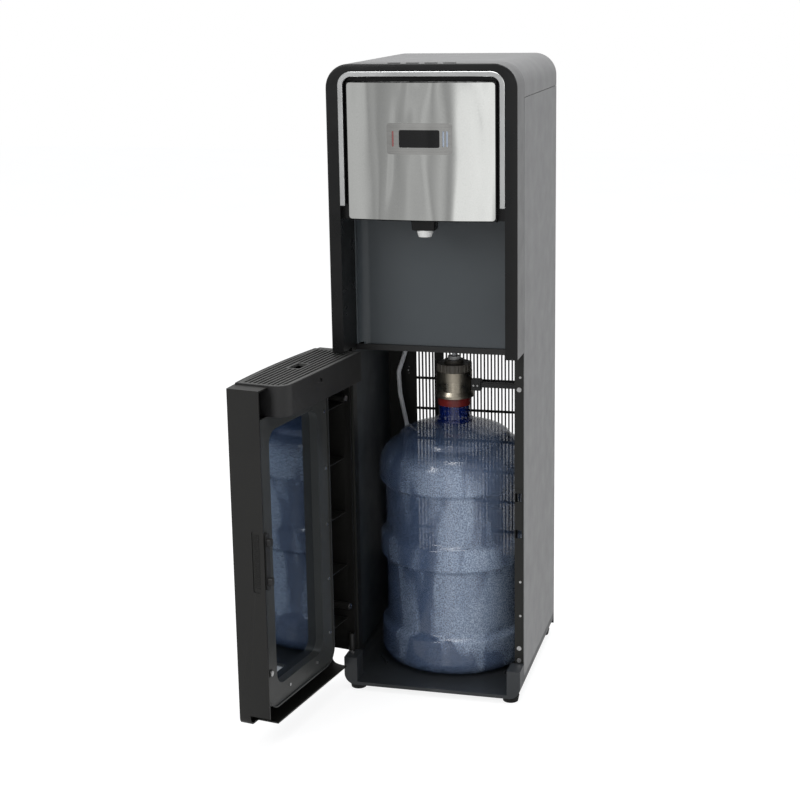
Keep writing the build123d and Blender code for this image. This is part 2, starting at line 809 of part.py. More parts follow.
boss_places = [
    (-width / 2 + 17, tray_bottom - 33), (-width / 2 + 19, door_bottom + 104),
    (width / 2 - 12, door_bottom + 92),
]
with BuildPart() as door_shell:
    with BuildSketch(level(door_bottom - 1)):
        door_plan(-width / 2 - 1, width / 2 + 1, door_back + 1)
    extrude(amount=door_top - door_bottom + 2)
    with BuildSketch(upright(door_back)):
        cradle(width, door_bottom, door_top, door_corner, door_free_corner)
    extrude(amount=door_depth + door_rise + 5, mode=Mode.INTERSECT)
    add(door_hollow.part, mode=Mode.SUBTRACT)
    add(door_webs.part)
    # Screw bosses that reach the land's level.
    with BuildSketch(upright(door_back - 1)):
        with Locations(*boss_places):
            Circle(boss_radius)
    extrude(amount=door_depth - 1)
    # Well for the tray, open at the top and the back.
    with BuildSketch(level(tray_bottom - fit_gap)):
        door_plan(tray_left - fit_gap, tray_right + fit_gap, door_back + 1, wall)
    extrude(amount=tray_depth + wall, mode=Mode.SUBTRACT)
    # Room for the base's cheeks at both lower corners.
    with BuildSketch(level(door_bottom - 1)):
        with Locations((hinge_x, hinge_y)):
            Circle(notch_radius)
        block(width / 2 - cheek_width - notch_gap, width / 2 + 1,
              base_front - notch_gap, door_back + 1)
    extrude(amount=cheek_top + notch_gap - door_bottom + 1, mode=Mode.SUBTRACT)
    # Bosses for the two hinge pins, set in the hinge-side wall.
    for low, high in ((cheek_top + notch_gap, cheek_top + 34), (door_top - 32, door_top)):
        with BuildSketch(level(low)):
            with Locations((hinge_x, hinge_y)):
                Circle(hinge_boss)
        extrude(amount=high - low)
        with BuildSketch(level(low)):
            with Locations((hinge_x, hinge_y)):
                Circle(hinge_pin_radius + hinge_clearance)
        extrude(amount=high - low, mode=Mode.SUBTRACT)
    # Finger grip moulded into the free side, with fine ribs.
    grip_place = (door_back - 14, catch_bottom + catch_height / 2)
    with BuildSketch(sideways(width / 2 + 1)):
        with Locations(grip_place):
            RectangleRounded(grip_width, catch_height + 8, 4)
    extrude(amount=-(1 + grip_depth), mode=Mode.SUBTRACT)
    with BuildSketch(sideways(width / 2 - grip_depth - 0.5)):
        with Locations(grip_place):
            with GridLocations(0, grip_pitch, 1, int((catch_height - 4) / grip_pitch)):
                Rectangle(grip_width - 4, grip_pitch / 3)
    extrude(amount=0.5 + grip_depth - 0.3)
hang(door_shell, "door_shell")

land_y = front + land_setback
pane_y = front + pane_setback
pane_middle = (pane_left + pane_right) / 2
pane_level = (pane_bottom + pane_top) / 2
land_right = width / 2 - wall
land_top = tray_bottom - fit_gap


def land_outline(inset, mode=Mode.ADD):
    """Outline of the door's inner land, drawn inset on its hinge side and bottom."""
    left, low = land_left + inset, land_bottom + inset
    with BuildLine() as outline:
        FilletPolyline(
            (left, land_top), (left, low), (land_right, low), (land_right, land_top),
            radius=land_corner - inset,
        )
        Line((land_right, land_top), (left, land_top))
    make_face(outline.edges(), mode=mode)


with BuildPart() as door_inner_frame:
    # Flat land round the pane.
    with BuildSketch(upright(land_y + wall)):
        land_outline(0)
        with Locations((pane_middle, pane_level)):
            RectangleRounded(
                pane_right - pane_left, pane_top - pane_bottom, pane_corner, mode=Mode.SUBTRACT
            )
    extrude(amount=wall)
    # Raised rim along the hinge side and the bottom, and the skirt behind it.
    with BuildSketch(upright(door_back)):
        land_outline(0)
        land_outline(wall, Mode.SUBTRACT)
        block(land_right - wall - 1, land_right + 1, land_bottom, land_top, Mode.SUBTRACT)
    extrude(amount=door_back - land_y + 14)
    # Bead that runs round the land inside its rim.
    with BuildSketch(upright(land_y + bead_rise)):
        land_outline(bead_inset)
        land_outline(bead_inset + bead_width, Mode.SUBTRACT)
        block(land_right - bead_inset - bead_width - 1, land_right + 1, land_bottom, land_top, Mode.SUBTRACT)
    extrude(amount=bead_rise)
    # Recess wall down to the pane.
    with BuildSketch(upright(land_y)):
        with Locations((pane_middle, pane_level)):
            RectangleRounded(
                pane_right - pane_left + 2 * wall, pane_top - pane_bottom + 2 * wall, pane_corner + wall
            )
            RectangleRounded(
                pane_right - pane_left, pane_top - pane_bottom, pane_corner, mode=Mode.SUBTRACT
            )
    extrude(amount=land_y - pane_y)
    # Room for the screw boss at the free side.
    with BuildSketch(upright(door_back + 1)):
        with Locations(boss_places[2]):
            Circle(boss_radius + fit_gap)
    extrude(amount=door_depth, mode=Mode.SUBTRACT)
hang(door_inner_frame, "door_inner_frame")

with BuildPart() as door_pane:
    with BuildSketch(upright(pane_y)):
        with Locations((pane_middle, pane_level)):
            RectangleRounded(
                pane_right - pane_left + 2 * wall, pane_top - pane_bottom + 2 * wall, pane_corner + wall
            )
    extrude(amount=pane_thickness)
hang(door_pane, "door_pane")

# Small screws on the land and large ones in the bosses.
land_screws = [(land_left + 11, web + 9) for web in web_levels]
land_screws += [(land_left + along, land_bottom + 20) for along in (60, 155)]
with BuildPart() as door_screws:
    with BuildSketch(upright(land_y + wall)):
        with Locations(*land_screws):
            Circle(land_screw_radius)
    extrude(amount=-1.2)
    with BuildSketch(upright(door_back - 1)):
        with Locations(*boss_places):
            Circle(boss_screw_radius)
    extrude(amount=-1.8)
hang(door_screws, "door_screws")

catch_y = land_y + wall
with BuildPart() as door_catch:
    with BuildSketch(upright(catch_y + 5)):
        with Locations((catch_x, catch_bottom + catch_height / 2)):
            RectangleRounded(12, catch_height, 5)
    extrude(amount=5)
    with BuildSketch(upright(catch_y + 12)):
        with Locations(*roller_places):
            RectangleRounded(roller_width, roller_height, 2)
    extrude(amount=8)
hang(door_catch, "door_catch")

# ---------------------------------------------------------------- drip tray, drawn in the shut door
rim_inset = 1.0
body_inset = wall + fit_gap


def tray_plan(inset, grow, mode=Mode.ADD):
    """Tray outline: bowed front, straight back, and a large rounded corner at the free end."""
    left, right, back = tray_left + grow, tray_right - grow, tray_back - grow
    front_arc = [
        (x, bow(x, width / 2, door_rise, front, inset)) for x in (left, (left + right) / 2, right)
    ]
    radius = tray_corner - grow
    bend = radius * (1 - sqrt(0.5))
    with BuildLine() as outline:
        ThreePointArc(*front_arc)
        Line(front_arc[2], (right, back - radius))
        ThreePointArc((right, back - radius), (right - bend, back - bend), (right - radius, back))
        Polyline((right - radius, back), (left, back), front_arc[0])
    make_face(outline.edges(), mode=mode)


with BuildPart() as drip_tray:
    with BuildSketch(level(tray_bottom)):
        tray_plan(body_inset, 0)
    extrude(amount=tray_depth)
    with BuildSketch(level(tray_bottom + tray_wall)):
        tray_plan(body_inset + tray_wall, tray_wall)
    extrude(amount=tray_depth, mode=Mode.SUBTRACT)
    # Rim that laps over the door's top edge.
    with BuildSketch(level(door_top)):
        tray_plan(rim_inset, 0)
        tray_plan(body_inset + tray_wall, tray_wall, Mode.SUBTRACT)
    extrude(amount=tray_rim)
    # Ledge the grille sits on.
    with BuildSketch(level(door_top - 4)):
        tray_plan(body_inset + tray_wall - 0.5, tray_wall - 0.5)
        tray_plan(body_inset + tray_wall + 2.5, tray_wall + 2.5, Mode.SUBTRACT)
    extrude(amount=2)
    # Overflow slot in the back wall.
    with BuildSketch(upright(tray_back + 1)):
        with Locations((tray_left + overflow_place[0], tray_bottom + overflow_place[1])):
            Rectangle(*overflow_size)
    extrude(amount=tray_wall + 2, mode=Mode.SUBTRACT)
hang(drip_tray, "drip_tray")

grille_inset = body_inset + tray_wall + fit_gap
grille_grow = tray_wall + fit_gap
with BuildPart() as grille_slots:
    with BuildSketch(level(door_top - 3)):
        tray_plan(grille_inset + 4, grille_grow + 5)
    extrude(amount=8)
with BuildPart() as grille_bands:
    rows = int((tray_reach + door_rise) / rib_pitch)
    with BuildSketch(level(door_top - 3)):
        for row in range(rows):
            low = tray_back - 8 - row * rib_pitch - rib_slot
            block(tray_left, tray_right, low, low + rib_slot)
        # Solid margin round the float hole, and cross bars that carry the ribs.
        with Locations((float_place[0], front + float_place[1])):
            Rectangle(float_hole[0] + 6, float_hole[1] + 6, mode=Mode.SUBTRACT)
            Rectangle(*float_hole)
    extrude(amount=8)
    add(grille_slots.part, mode=Mode.INTERSECT)

with BuildPart() as drip_grille:
    with BuildSketch(level(door_top - 2)):
        tray_plan(grille_inset, grille_grow)
    extrude(amount=2 + tray_rim)
    add(grille_bands.part, mode=Mode.SUBTRACT)
    # Cross bars under the ribs.
    with BuildSketch(level(door_top - 2)):
        for x in [bar_pitch * i for i in (-2, -1, 1, 2)]:
            start = bow(x, width / 2, door_rise, front, grille_inset) + 1
            block(x - bar_width / 2, x + bar_width / 2, start, tray_back - 6)
    extrude(amount=2)
hang(drip_grille, "drip_grille")

# ---------------------------------------------------------------- hinge pins and strike
with BuildPart() as hinge_pins:
    upper_plate = module_bottom + wall
    with BuildSketch(level(upper_plate)):
        block(-width / 2 + wall, hinge_x + 9, hinge_y - 9, hinge_y + 9)
    extrude(amount=2)
    with BuildSketch(level(door_top - 18)):
        with Locations((hinge_x, hinge_y)):
            Circle(hinge_pin_radius)
    extrude(amount=upper_plate - door_top + 18)
    with BuildSketch(level(cheek_top)):
        with Locations((hinge_x, hinge_y)):
            Circle(hinge_pin_radius)
    extrude(amount=20)
    with BuildSketch(level(cheek_top)):
        with Locations((hinge_x, hinge_y)):
            Circle(hinge_boss)
    extrude(amount=1.5)
finish(hinge_pins, "hinge_pins")

plate_proud = 0.8
with BuildPart() as strike_plate:
    with BuildSketch(upright(band_back)):
        with Locations((catch_x, catch_bottom + catch_height / 2)):
            RectangleRounded(13, catch_height, 3)
        with Locations(*roller_places):
            Rectangle(roller_width + 2, roller_height + 3, mode=Mode.SUBTRACT)
    extrude(amount=plate_proud)
finish(strike_plate, "strike_plate")

# Screws on the right post: three large pan heads and three small ones.
post_x = catch_x + 1
with BuildPart() as post_screws:
    with BuildSketch(upright(band_back)):
        with Locations(*[(post_x, z) for z in (door_top - 57, base_top + 50, base_top + 28)]):
            Circle(post_screw_radius)
        with Locations(*[(post_x + 2, z) for z in (door_top - 36, base_top + 170, base_top + 109)]):
            Circle(post_screw_radius / 2)
    extrude(amount=post_screw_proud)
finish(post_screws, "post_screws")


# ================================================================ bottle and probe
def turned(profile, centre=(bottle_x, bottle_y)):
    """Solid turned from (radius, height) points about an upright axis."""
    with BuildPart() as piece:
        with BuildSketch(Plane.XZ):
            with BuildLine():
                Polyline(*profile, close=True)
            make_face()
        revolve(axis=Axis.Z)
    return piece.part.moved(Location((*centre, 0)))


def bottle_half(inset, low, high):
    """Half outline of the bottle, drawn inset by a wall thickness, as (radius, height) points."""
    wide, throat = bottle_radius - inset, neck_radius - inset
    waist = wide - bottle_groove
    top = body_height + shoulder_height
    steps = [
        (0, low), (wide - 16, low), (wide - 4.7, low + 4.7), (wide, low + 16), (wide, 66), (waist, 75),
        (waist, 185), (wide, 194), (wide, 230), (waist, 240), (waist, 320), (wide, 330),
        (wide, body_height), (wide - 8, top - 35 - inset / 2), (wide - 28, top - 23 - inset),
        (36 - inset, top - 6 - inset), (throat, top), (throat, high), (0, high),
    ]
    return [(r, bottle_base + z) for r, z in steps]


with BuildPart() as bottle:
    add(turned(bottle_half(0, 0, neck_top)))
    # Ring under the cap.
    ring = bottle_base + body_height + shoulder_height - 2
    add(turned([(neck_radius - 1, ring), (neck_radius + 4.5, ring), (neck_radius + 4.5, ring + 6),
                (neck_radius - 1, ring + 6)]))
    add(turned(bottle_half(bottle_wall, bottle_wall, neck_top + 1)), mode=Mode.SUBTRACT)
finish(bottle, "bottle")

with BuildPart() as bottle_cap:
    throat = dip_radius + fit_gap
    shell = neck_radius + 0.2
    add(turned([(shell, cap_bottom), (cap_radius, cap_bottom), (cap_radius, cap_top),
                (throat, cap_top), (throat, mouth), (shell, mouth)]))
finish(bottle_cap, "bottle_cap")

with BuildPart() as probe_collar:
    bell = cap_radius + fit_gap
    dip_hole = dip_radius + 0.1
    add(turned([(bell, collar_bottom), (collar_radius + 3.5, collar_bottom),
                (collar_radius + 3, collar_bottom + 4), (collar_radius, collar_bottom + 11),
                (collar_radius, collar_top), (dip_hole, collar_top), (dip_hole, collar_top - 2),
                (collar_radius - 2, collar_top - 2), (collar_radius - 2, collar_bottom + 11),
                (bell, mouth + 8)]))
finish(probe_collar, "probe_collar")

with BuildPart() as probe_cap:
    with BuildSketch(level(collar_top)):
        with Locations((bottle_x, bottle_y)):
            Circle(collar_radius - 0.5)
            with PolarLocations(collar_radius + 0.6, flute_count):
                Circle(flute_radius, mode=Mode.SUBTRACT)
    extrude(amount=knob_height)
    with BuildSketch(level(knob_top)):
        with Locations((bottle_x, bottle_y)):
            Circle(stem_radius)
    extrude(amount=stem_height)
    with BuildSketch(level(collar_top)):
        with Locations((bottle_x, bottle_y)):
            Circle(dip_hole)
    extrude(amount=knob_height + stem_height, mode=Mode.SUBTRACT)
finish(probe_cap, "probe_cap")

with BuildPart() as probe_fitting:
    with BuildSketch(level(fitting_bottom)):
        with Locations((bottle_x, bottle_y)):
            Circle(fitting_radius)
            Circle(tube_radius, mode=Mode.SUBTRACT)
    extrude(amount=fitting_height)
finish(probe_fitting, "probe_fitting")


def pipe(points, bends, radius):
    """Round tube along straight runs joined by tangent bends."""
    with BuildPart() as run:
        with BuildLine() as route:
            FilletPolyline(*points, radius=bends)
        with BuildSketch(Plane(origin=route.line @ 0, z_dir=route.line % 0)):
            Circle(radius)
        sweep(path=route.line)
    return run.part


# Suction tube that leans against the bottle's far wall.
with BuildPart() as dip_tube:
    add(pipe(
        [(bottle_x, bottle_y, knob_top), (bottle_x, bottle_y, bottle_base + body_height - 64),
         (bottle_x + 20, bottle_y, bottle_base + 204), (bottle_x + 38, bottle_y, bottle_base + 104),
         (bottle_x + 40, bottle_y, bottle_base + 14)], 60, dip_radius,
    ))
finish(dip_tube, "dip_tube")

# Arm that parks the probe above the bottle while it is changed.
arm_level = collar_bottom + 21
arm_start = bottle_x + collar_radius
arm_end = arm_start + arm_block[0]
plate_face = liner_face - arm_plate[2]
with BuildPart() as probe_arm:
    with BuildSketch(level(arm_level - arm_block[2] / 2)):
        block(arm_start, arm_end, bottle_y - arm_block[1] / 2, bottle_y + arm_block[1] / 2)
        with Locations((bottle_x, bottle_y)):
            Circle(collar_radius, mode=Mode.SUBTRACT)
    extrude(amount=arm_block[2])
    with BuildSketch(sideways(arm_end)):
        with Locations((bottle_y, arm_level)):
            Rectangle(arm_bar, arm_bar)
    extrude(amount=plate_face - arm_end)
    with BuildSketch(sideways(plate_face)):
        with Locations((bottle_y, arm_level)):
            RectangleRounded(arm_plate[0], arm_plate[1], 5)
    extrude(amount=arm_plate[2])
finish(probe_arm, "probe_arm")

with BuildPart() as arm_pins:
    with BuildSketch(upright(bottle_y - arm_block[1] / 2)):
        with Locations((arm_start + 5, arm_level), (arm_start + 12, arm_level)):
            Circle(arm_pin_radius)
    extrude(amount=4)
finish(arm_pins, "arm_pins")

# ================================================================ drain
with BuildPart() as drain_hose:
    hose_x, hose_y = drain_hole
    add(pipe(
        [(*tank_drain, bracket_top), (*tank_drain, bracket_level - 9), (hose_x, hose_y, bracket_level - 32),
         (hose_x, hose_y, shelf_bottom - 32), (hose_x - 19, hose_y, shelf_bottom - 87),
         (hose_x - 17, hose_y, shelf_bottom - 127), (hose_x - 5, hose_y, shelf_bottom - 187),
         (hose_x - 13, hose_y + 2, 330), (hose_x - 23, hose_y + 5, 200), (drain_x, hose_y + 2, 100),
         (drain_x, hose_y + 3, drain_level), (drain_x, rear + 4, drain_level)],
        [8, 12, 30, 20, 15, 30, 60, 60, 30, 14], tube_radius,
    ))
finish(drain_hose, "drain_hose")

with BuildPart() as drain_cap:
    with BuildSketch(upright(rear)):
        with Locations((drain_x, drain_level)):
            Circle(tube_radius + 3.5)
    extrude(amount=-9)
    chamfer(drain_cap.faces().sort_by(Axis.Y)[-1].edges(), 1)
    with BuildSketch(upright(rear - 1)):
        with Locations((drain_x, drain_level)):
            Circle(tube_radius + 0.1)
    extrude(amount=-5.5, mode=Mode.SUBTRACT)
finish(drain_cap, "drain_cap")

# ================================================================ condenser
with BuildPart() as condenser_tube:
    inlet_x, inlet_level = coil_inlet
    outlet_x = coil_outlet[0]
    reach = grid_half - coil_radius
    points = [(outlet_x, rear_sheet - 10, outlet_level), (outlet_x, coil_y, outlet_level),
              (outlet_x, coil_y, coil_first)]
    for run in range(coil_runs):
        side = -1 if run % 2 == 0 else 1
        if run > 0:
            points.append((-side * reach, coil_y, coil_first + run * coil_pitch))
        if run < coil_runs - 1:
            points.append((side * reach, coil_y, coil_first + run * coil_pitch))
    points += [(inlet_x, coil_y, inlet_level), (inlet_x, rear_sheet - 10, inlet_level)]
    bends = [8, 9] + [coil_bend] * (2 * (coil_runs - 1)) + [8]
    add(pipe(points, bends, coil_radius))
finish(condenser_tube, "condenser_tube")

with BuildPart() as condenser_wires:
    wire_count = int(grid_half / wire_pitch)
    for layer in (-1, 1):
        middle = coil_y + layer * (coil_radius + wire_size / 2 - 0.1)
        with BuildSketch(level(grid_bottom)):
            for i in range(-wire_count, wire_count + 1):
                with Locations((i * wire_pitch, middle)):
                    Rectangle(wire_size, wire_size)
        extrude(amount=grid_top - grid_bottom)
finish(condenser_wires, "condenser_wires")

# ================================================================ cooling and water parts inside
with BuildPart() as compressor_grommets:
    span, reach = mount_plate[0] / 2 - 9, mount_plate[1] / 2 - 9
    with BuildSketch(level(shelf_top)):
        with Locations(compressor_place):
            with GridLocations(2 * span, 2 * reach, 2, 2):
                Circle(grommet_radius)
    extrude(amount=grommet_height)
finish(compressor_grommets, "compressor_grommets")

with BuildPart() as compressor:
    with BuildSketch(level(mount_level)):
        with Locations(compressor_place):
            RectangleRounded(mount_plate[0], mount_plate[1], 8)
    extrude(amount=mount_plate[2])
    low, high = mount_level + mount_plate[2], mount_level + compressor_height
    radius = compressor_radius
    add(turned([(0, low), (radius - 8, low), (radius, low + 8), (radius, high - 34),
                (radius - 6, high - 16), (radius - 22, high - 5), (0, high)], compressor_place))
    # Hollow round the motor, which stands on the shell's floor.
    low, high = low + compressor_wall, high - compressor_wall
    radius = compressor_radius - compressor_wall
    motor_top = high - motor_gap
    add(turned([(motor_radius, low), (radius - 8, low), (radius, low + 8), (radius, high - 34),
                (radius - 6, high - 16), (radius - 22, high - 5), (0, high), (0, motor_top),
                (motor_radius, motor_top)], compressor_place), mode=Mode.SUBTRACT)
finish(compressor, "compressor")

bracket_front = hot_place[1] - hot_radius - 32
bracket_back = rear_sheet - 35.5
with BuildPart() as tank_bracket:
    with BuildSketch(level(bracket_level)):
        block(-inner_half, inner_half, bracket_front, bracket_back)
        with Locations(tank_drain):
            Circle(tube_radius + fit_gap, mode=Mode.SUBTRACT)
    extrude(amount=bracket_thickness)
    with BuildSketch(level(bracket_level - bracket_flange)):
        for side in (-1, 1):
            low, high = sorted((side * inner_half, side * (inner_half - bracket_thickness)))
            block(low, high, bracket_front, bracket_back)
    extrude(amount=bracket_flange)
finish(tank_bracket, "tank_bracket")

tanks = (("cold_tank", cold_place, cold_radius), ("hot_tank", hot_place, hot_radius))
for label, place, radius in tanks:
    with BuildPart() as tank:
        with BuildSketch(level(bracket_top)):
            with Locations(place):
                Circle(radius)
        extrude(amount=tank_height)
        fillet(tank.faces().sort_by(Axis.Z)[-1].edges(), 8)
    finish(tank, label)

with BuildPart() as water_pump:
    with BuildSketch(level(shelf_top)):
        with Locations(pump_place):
            RectangleRounded(pump_side, pump_side, 4)
    extrude(amount=pump_base)
    with BuildSketch(level(shelf_top + pump_base)):
        with Locations(pump_place):
            Circle(pump_radius)
    extrude(amount=pump_height - pump_base)
finish(water_pump, "water_pump")

# Lines from the probe to the pump, on to the cold tank, across both tanks and out to the spout.
pump_x, pump_y = pump_place
cold_x, hot_x = cold_place[0], hot_place[0]
cold_front = cold_place[1] - cold_radius
hot_front = hot_place[1] - hot_radius
suction_level = shelf_top + 38
feed_level = bracket_level - 20
port_level = bracket_top + 24
tap_level = housing_low + 42
tap_y = splash_face + 24.5
spout_start = housing_low - spout_drop + 12
with BuildPart() as water_lines:
    add(pipe(
        [(bottle_x, bottle_y, fitting_bottom + 1), (bottle_x, bottle_y, suction_level),
         (bottle_x, pump_y, suction_level), (pump_x - pump_radius, pump_y, suction_level)],
        line_bend, line_radius,
    ))
    add(pipe(
        [(pump_x, pump_y, shelf_top + pump_height), (pump_x, pump_y, feed_level),
         (cold_x, pump_y, feed_level), (cold_x, pump_y, port_level), (cold_x, cold_front, port_level)],
        line_bend, line_radius,
    ))
    add(pipe(
        [(cold_x, cold_front, tap_level), (cold_x, tap_y, tap_level), (hot_x, tap_y, tap_level),
         (hot_x, hot_front, tap_level)], line_bend, line_radius,
    ))
    add(pipe(
        [(0, spout_y, spout_start), (0, spout_y, tap_level), (0, tap_y, tap_level)],
        line_bend, line_radius - 0.5,
    ))
finish(water_lines, "water_lines")

with BuildPart() as refrigerant_lines:
    x, y = compressor_place
    start = rear_sheet - 10
    first, second = rear_sheet - 20.5, rear_sheet - 25.5
    low, high = mount_level + compressor_height / 2, mount_level + compressor_height * 0.6
    add(pipe(
        [(inlet_x, start, inlet_level), (inlet_x, first, inlet_level), (inlet_x, first, bracket_level - 25),
         (x, first, bracket_level - 25), (x, first, low), (x, y + compressor_radius, low)],
        8, coil_radius,
    ))
    side, middle = cold_place[0] + cold_radius, cold_place[1]
    add(pipe(
        [(outlet_x, start, outlet_level), (outlet_x, second, outlet_level),
         (outlet_x, second, bracket_top + 63), (side + 20, second, bracket_top + 63),
         (side + 20, middle, bracket_top + 63), (side, middle, bracket_top + 63)],
        8, coil_radius,
    ))
    add(pipe(
        [(side, middle, bracket_top + 33), (side + 14, middle, bracket_top + 33),
         (side + 14, second, bracket_top + 33), (side + 14, second, high), (side + 14, y, high),
         (x + compressor_radius, y, high)], 6, coil_radius,
    ))
finish(refrigerant_lines, "refrigerant_lines")

with BuildPart() as control_board:
    board_face = rear_sheet - board_standoff
    board_x = cold_place[0] + cold_radius + board_gap + board_size[0] / 2
    board_level = shelf_top + 88
    with BuildSketch(upright(board_face)):
        with Locations((board_x, board_level)):
            Rectangle(*board_size)
    extrude(amount=board_thickness)
    with BuildSketch(upright(rear_sheet)):
        with Locations((board_x, board_level)):
            with GridLocations(board_size[0] - 10, board_size[1] - 10, 2, 2):
                Circle(board_stud)
    extrude(amount=board_standoff)
    # A transformer and two relays.
    with BuildSketch(upright(board_face - board_thickness)):
        with Locations((board_x - 18, board_level + 25)):
            Rectangle(26, 30)
    extrude(amount=20)
    with BuildSketch(upright(board_face - board_thickness)):
        with Locations((board_x + 20, board_level + 10), (board_x + 20, board_level - 20)):
            Rectangle(16, 18)
    extrude(amount=12)
finish(control_board, "control_board")

# ================================================================ switch and lead entry
rocker_y = rear_sheet - 1
rocker_gap = 0.3
with BuildPart() as switch_frame:
    with BuildSketch(upright(rear_sheet + sheet)):
        with Locations((switch_x, switch_level)):
            Rectangle(switch_width + 5, switch_height + 5)
    extrude(amount=-1.5)
    with BuildSketch(upright(rear_sheet + sheet)):
        with Locations((switch_x, switch_level)):
            Rectangle(switch_width, switch_height)
    extrude(amount=16)
    with BuildSketch(sideways(switch_x - rocker_width / 2 - rocker_gap)):
        with Locations((rocker_y, switch_level)):
            Circle(rocker_radius + rocker_gap)
    extrude(amount=rocker_width + 2 * rocker_gap, mode=Mode.SUBTRACT)
    with BuildSketch(sideways(switch_x - rocker_width / 2 - rocker_gap - 1)):
        with Locations((rocker_y, switch_level)):
            Circle(1 + hinge_clearance)
    extrude(amount=rocker_width + 2 * rocker_gap + 2, mode=Mode.SUBTRACT)
finish(switch_frame, "switch_frame")

with BuildPart() as hot_switch:
    with BuildSketch(sideways(switch_x - rocker_width / 2)):
        with Locations((rocker_y, switch_level)):
            Circle(rocker_radius)
    extrude(amount=rocker_width)
    # Two faces of the rocker, meeting in a shallow valley; the upper one is pressed in.
    for turn in (0, 2 * rocker_tilt):
        side_plane = Plane(origin=(switch_x - 6, rocker_y, switch_level), x_dir=(0, 1, 0), z_dir=(1, 0, 0))
        with BuildSketch(side_plane):
            with BuildLine():
                reach = 2 * rocker_radius
                slope = tan(radians(turn))
                edge = 1 if turn else -1
                Polyline((5.5, 0), (5.5 - slope * reach, edge * reach), (reach, edge * reach),
                         (reach, 0), close=True)
            make_face()
        extrude(amount=12, mode=Mode.SUBTRACT)
    with BuildSketch(sideways(switch_x - rocker_width / 2 - rocker_gap - 0.8)):
        with Locations((rocker_y, switch_level)):
            Circle(1)
    extrude(amount=rocker_width + 2 * rocker_gap + 1.6)
finish(hot_switch, "hot_switch")

with BuildPart() as cord_gland:
    flange = bush_radius + bush_lip
    steps = (
        (rear_sheet + sheet, flange, -bush_lip), (rear_sheet, bush_radius, -sheet),
        (rear_sheet, flange, bush_lip),
    )
    for start, size, run in steps:
        with BuildSketch(upright(start)):
            with Locations((switch_x, lead_level)):
                Circle(size)
        extrude(amount=run)
    with BuildSketch(upright(rear_sheet - 5)):
        with Locations((switch_x, lead_level)):
            Circle(lead_radius)
    extrude(amount=-12, mode=Mode.SUBTRACT)
finish(cord_gland, "cord_gland")
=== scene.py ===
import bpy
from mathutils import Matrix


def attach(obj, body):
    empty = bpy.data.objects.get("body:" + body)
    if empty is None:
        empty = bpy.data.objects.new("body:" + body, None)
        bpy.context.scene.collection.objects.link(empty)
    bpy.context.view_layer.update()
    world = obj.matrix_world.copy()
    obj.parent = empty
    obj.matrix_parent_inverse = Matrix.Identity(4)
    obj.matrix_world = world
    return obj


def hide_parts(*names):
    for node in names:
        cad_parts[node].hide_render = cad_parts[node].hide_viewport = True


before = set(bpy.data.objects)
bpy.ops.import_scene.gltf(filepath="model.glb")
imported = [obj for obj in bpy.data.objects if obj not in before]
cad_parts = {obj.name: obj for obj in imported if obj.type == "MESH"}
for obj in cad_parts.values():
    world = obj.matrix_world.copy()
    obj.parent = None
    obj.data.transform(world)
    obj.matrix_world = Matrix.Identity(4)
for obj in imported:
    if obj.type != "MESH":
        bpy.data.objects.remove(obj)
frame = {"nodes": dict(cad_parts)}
"""Looks of a bottom load water cooler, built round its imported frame.

Each sub-assembly is a class with its own sizes in metres and its own finishes. New pieces are
numpy surfaces; the other pieces are the frame's own parts, dressed or copied with softened edges.
"""
import logging
import math
from dataclasses import dataclass
from enum import Enum
from typing import Iterable, Sequence

import bmesh
import bpy
import numpy as np
from mathutils import Matrix, Vector

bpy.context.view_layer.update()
LOG = logging.getLogger("cooler")
Colour = tuple[float, float, float]
Range = tuple[float, float]
Shell = tuple[np.ndarray, np.ndarray]


class Body(Enum):
    """Moving groups of the frame that a new piece can ride on."""

    CABINET = "cabinet"
    DOOR = "door"


# ------------------------------------------------------------------------------ shader building
def linear(colour: Colour) -> tuple[float, float, float, float]:
    """Turns a display colour into the linear colour a shader takes.

    Args:
        colour: Red, green and blue as displayed, each 0 to 1.

    Returns:
        The linear colour with an alpha of 1.
    """
    parts = [c / 12.92 if c <= 0.04045 else ((c + 0.055) / 1.055) ** 2.4 for c in colour]
    return (*parts, 1.0)


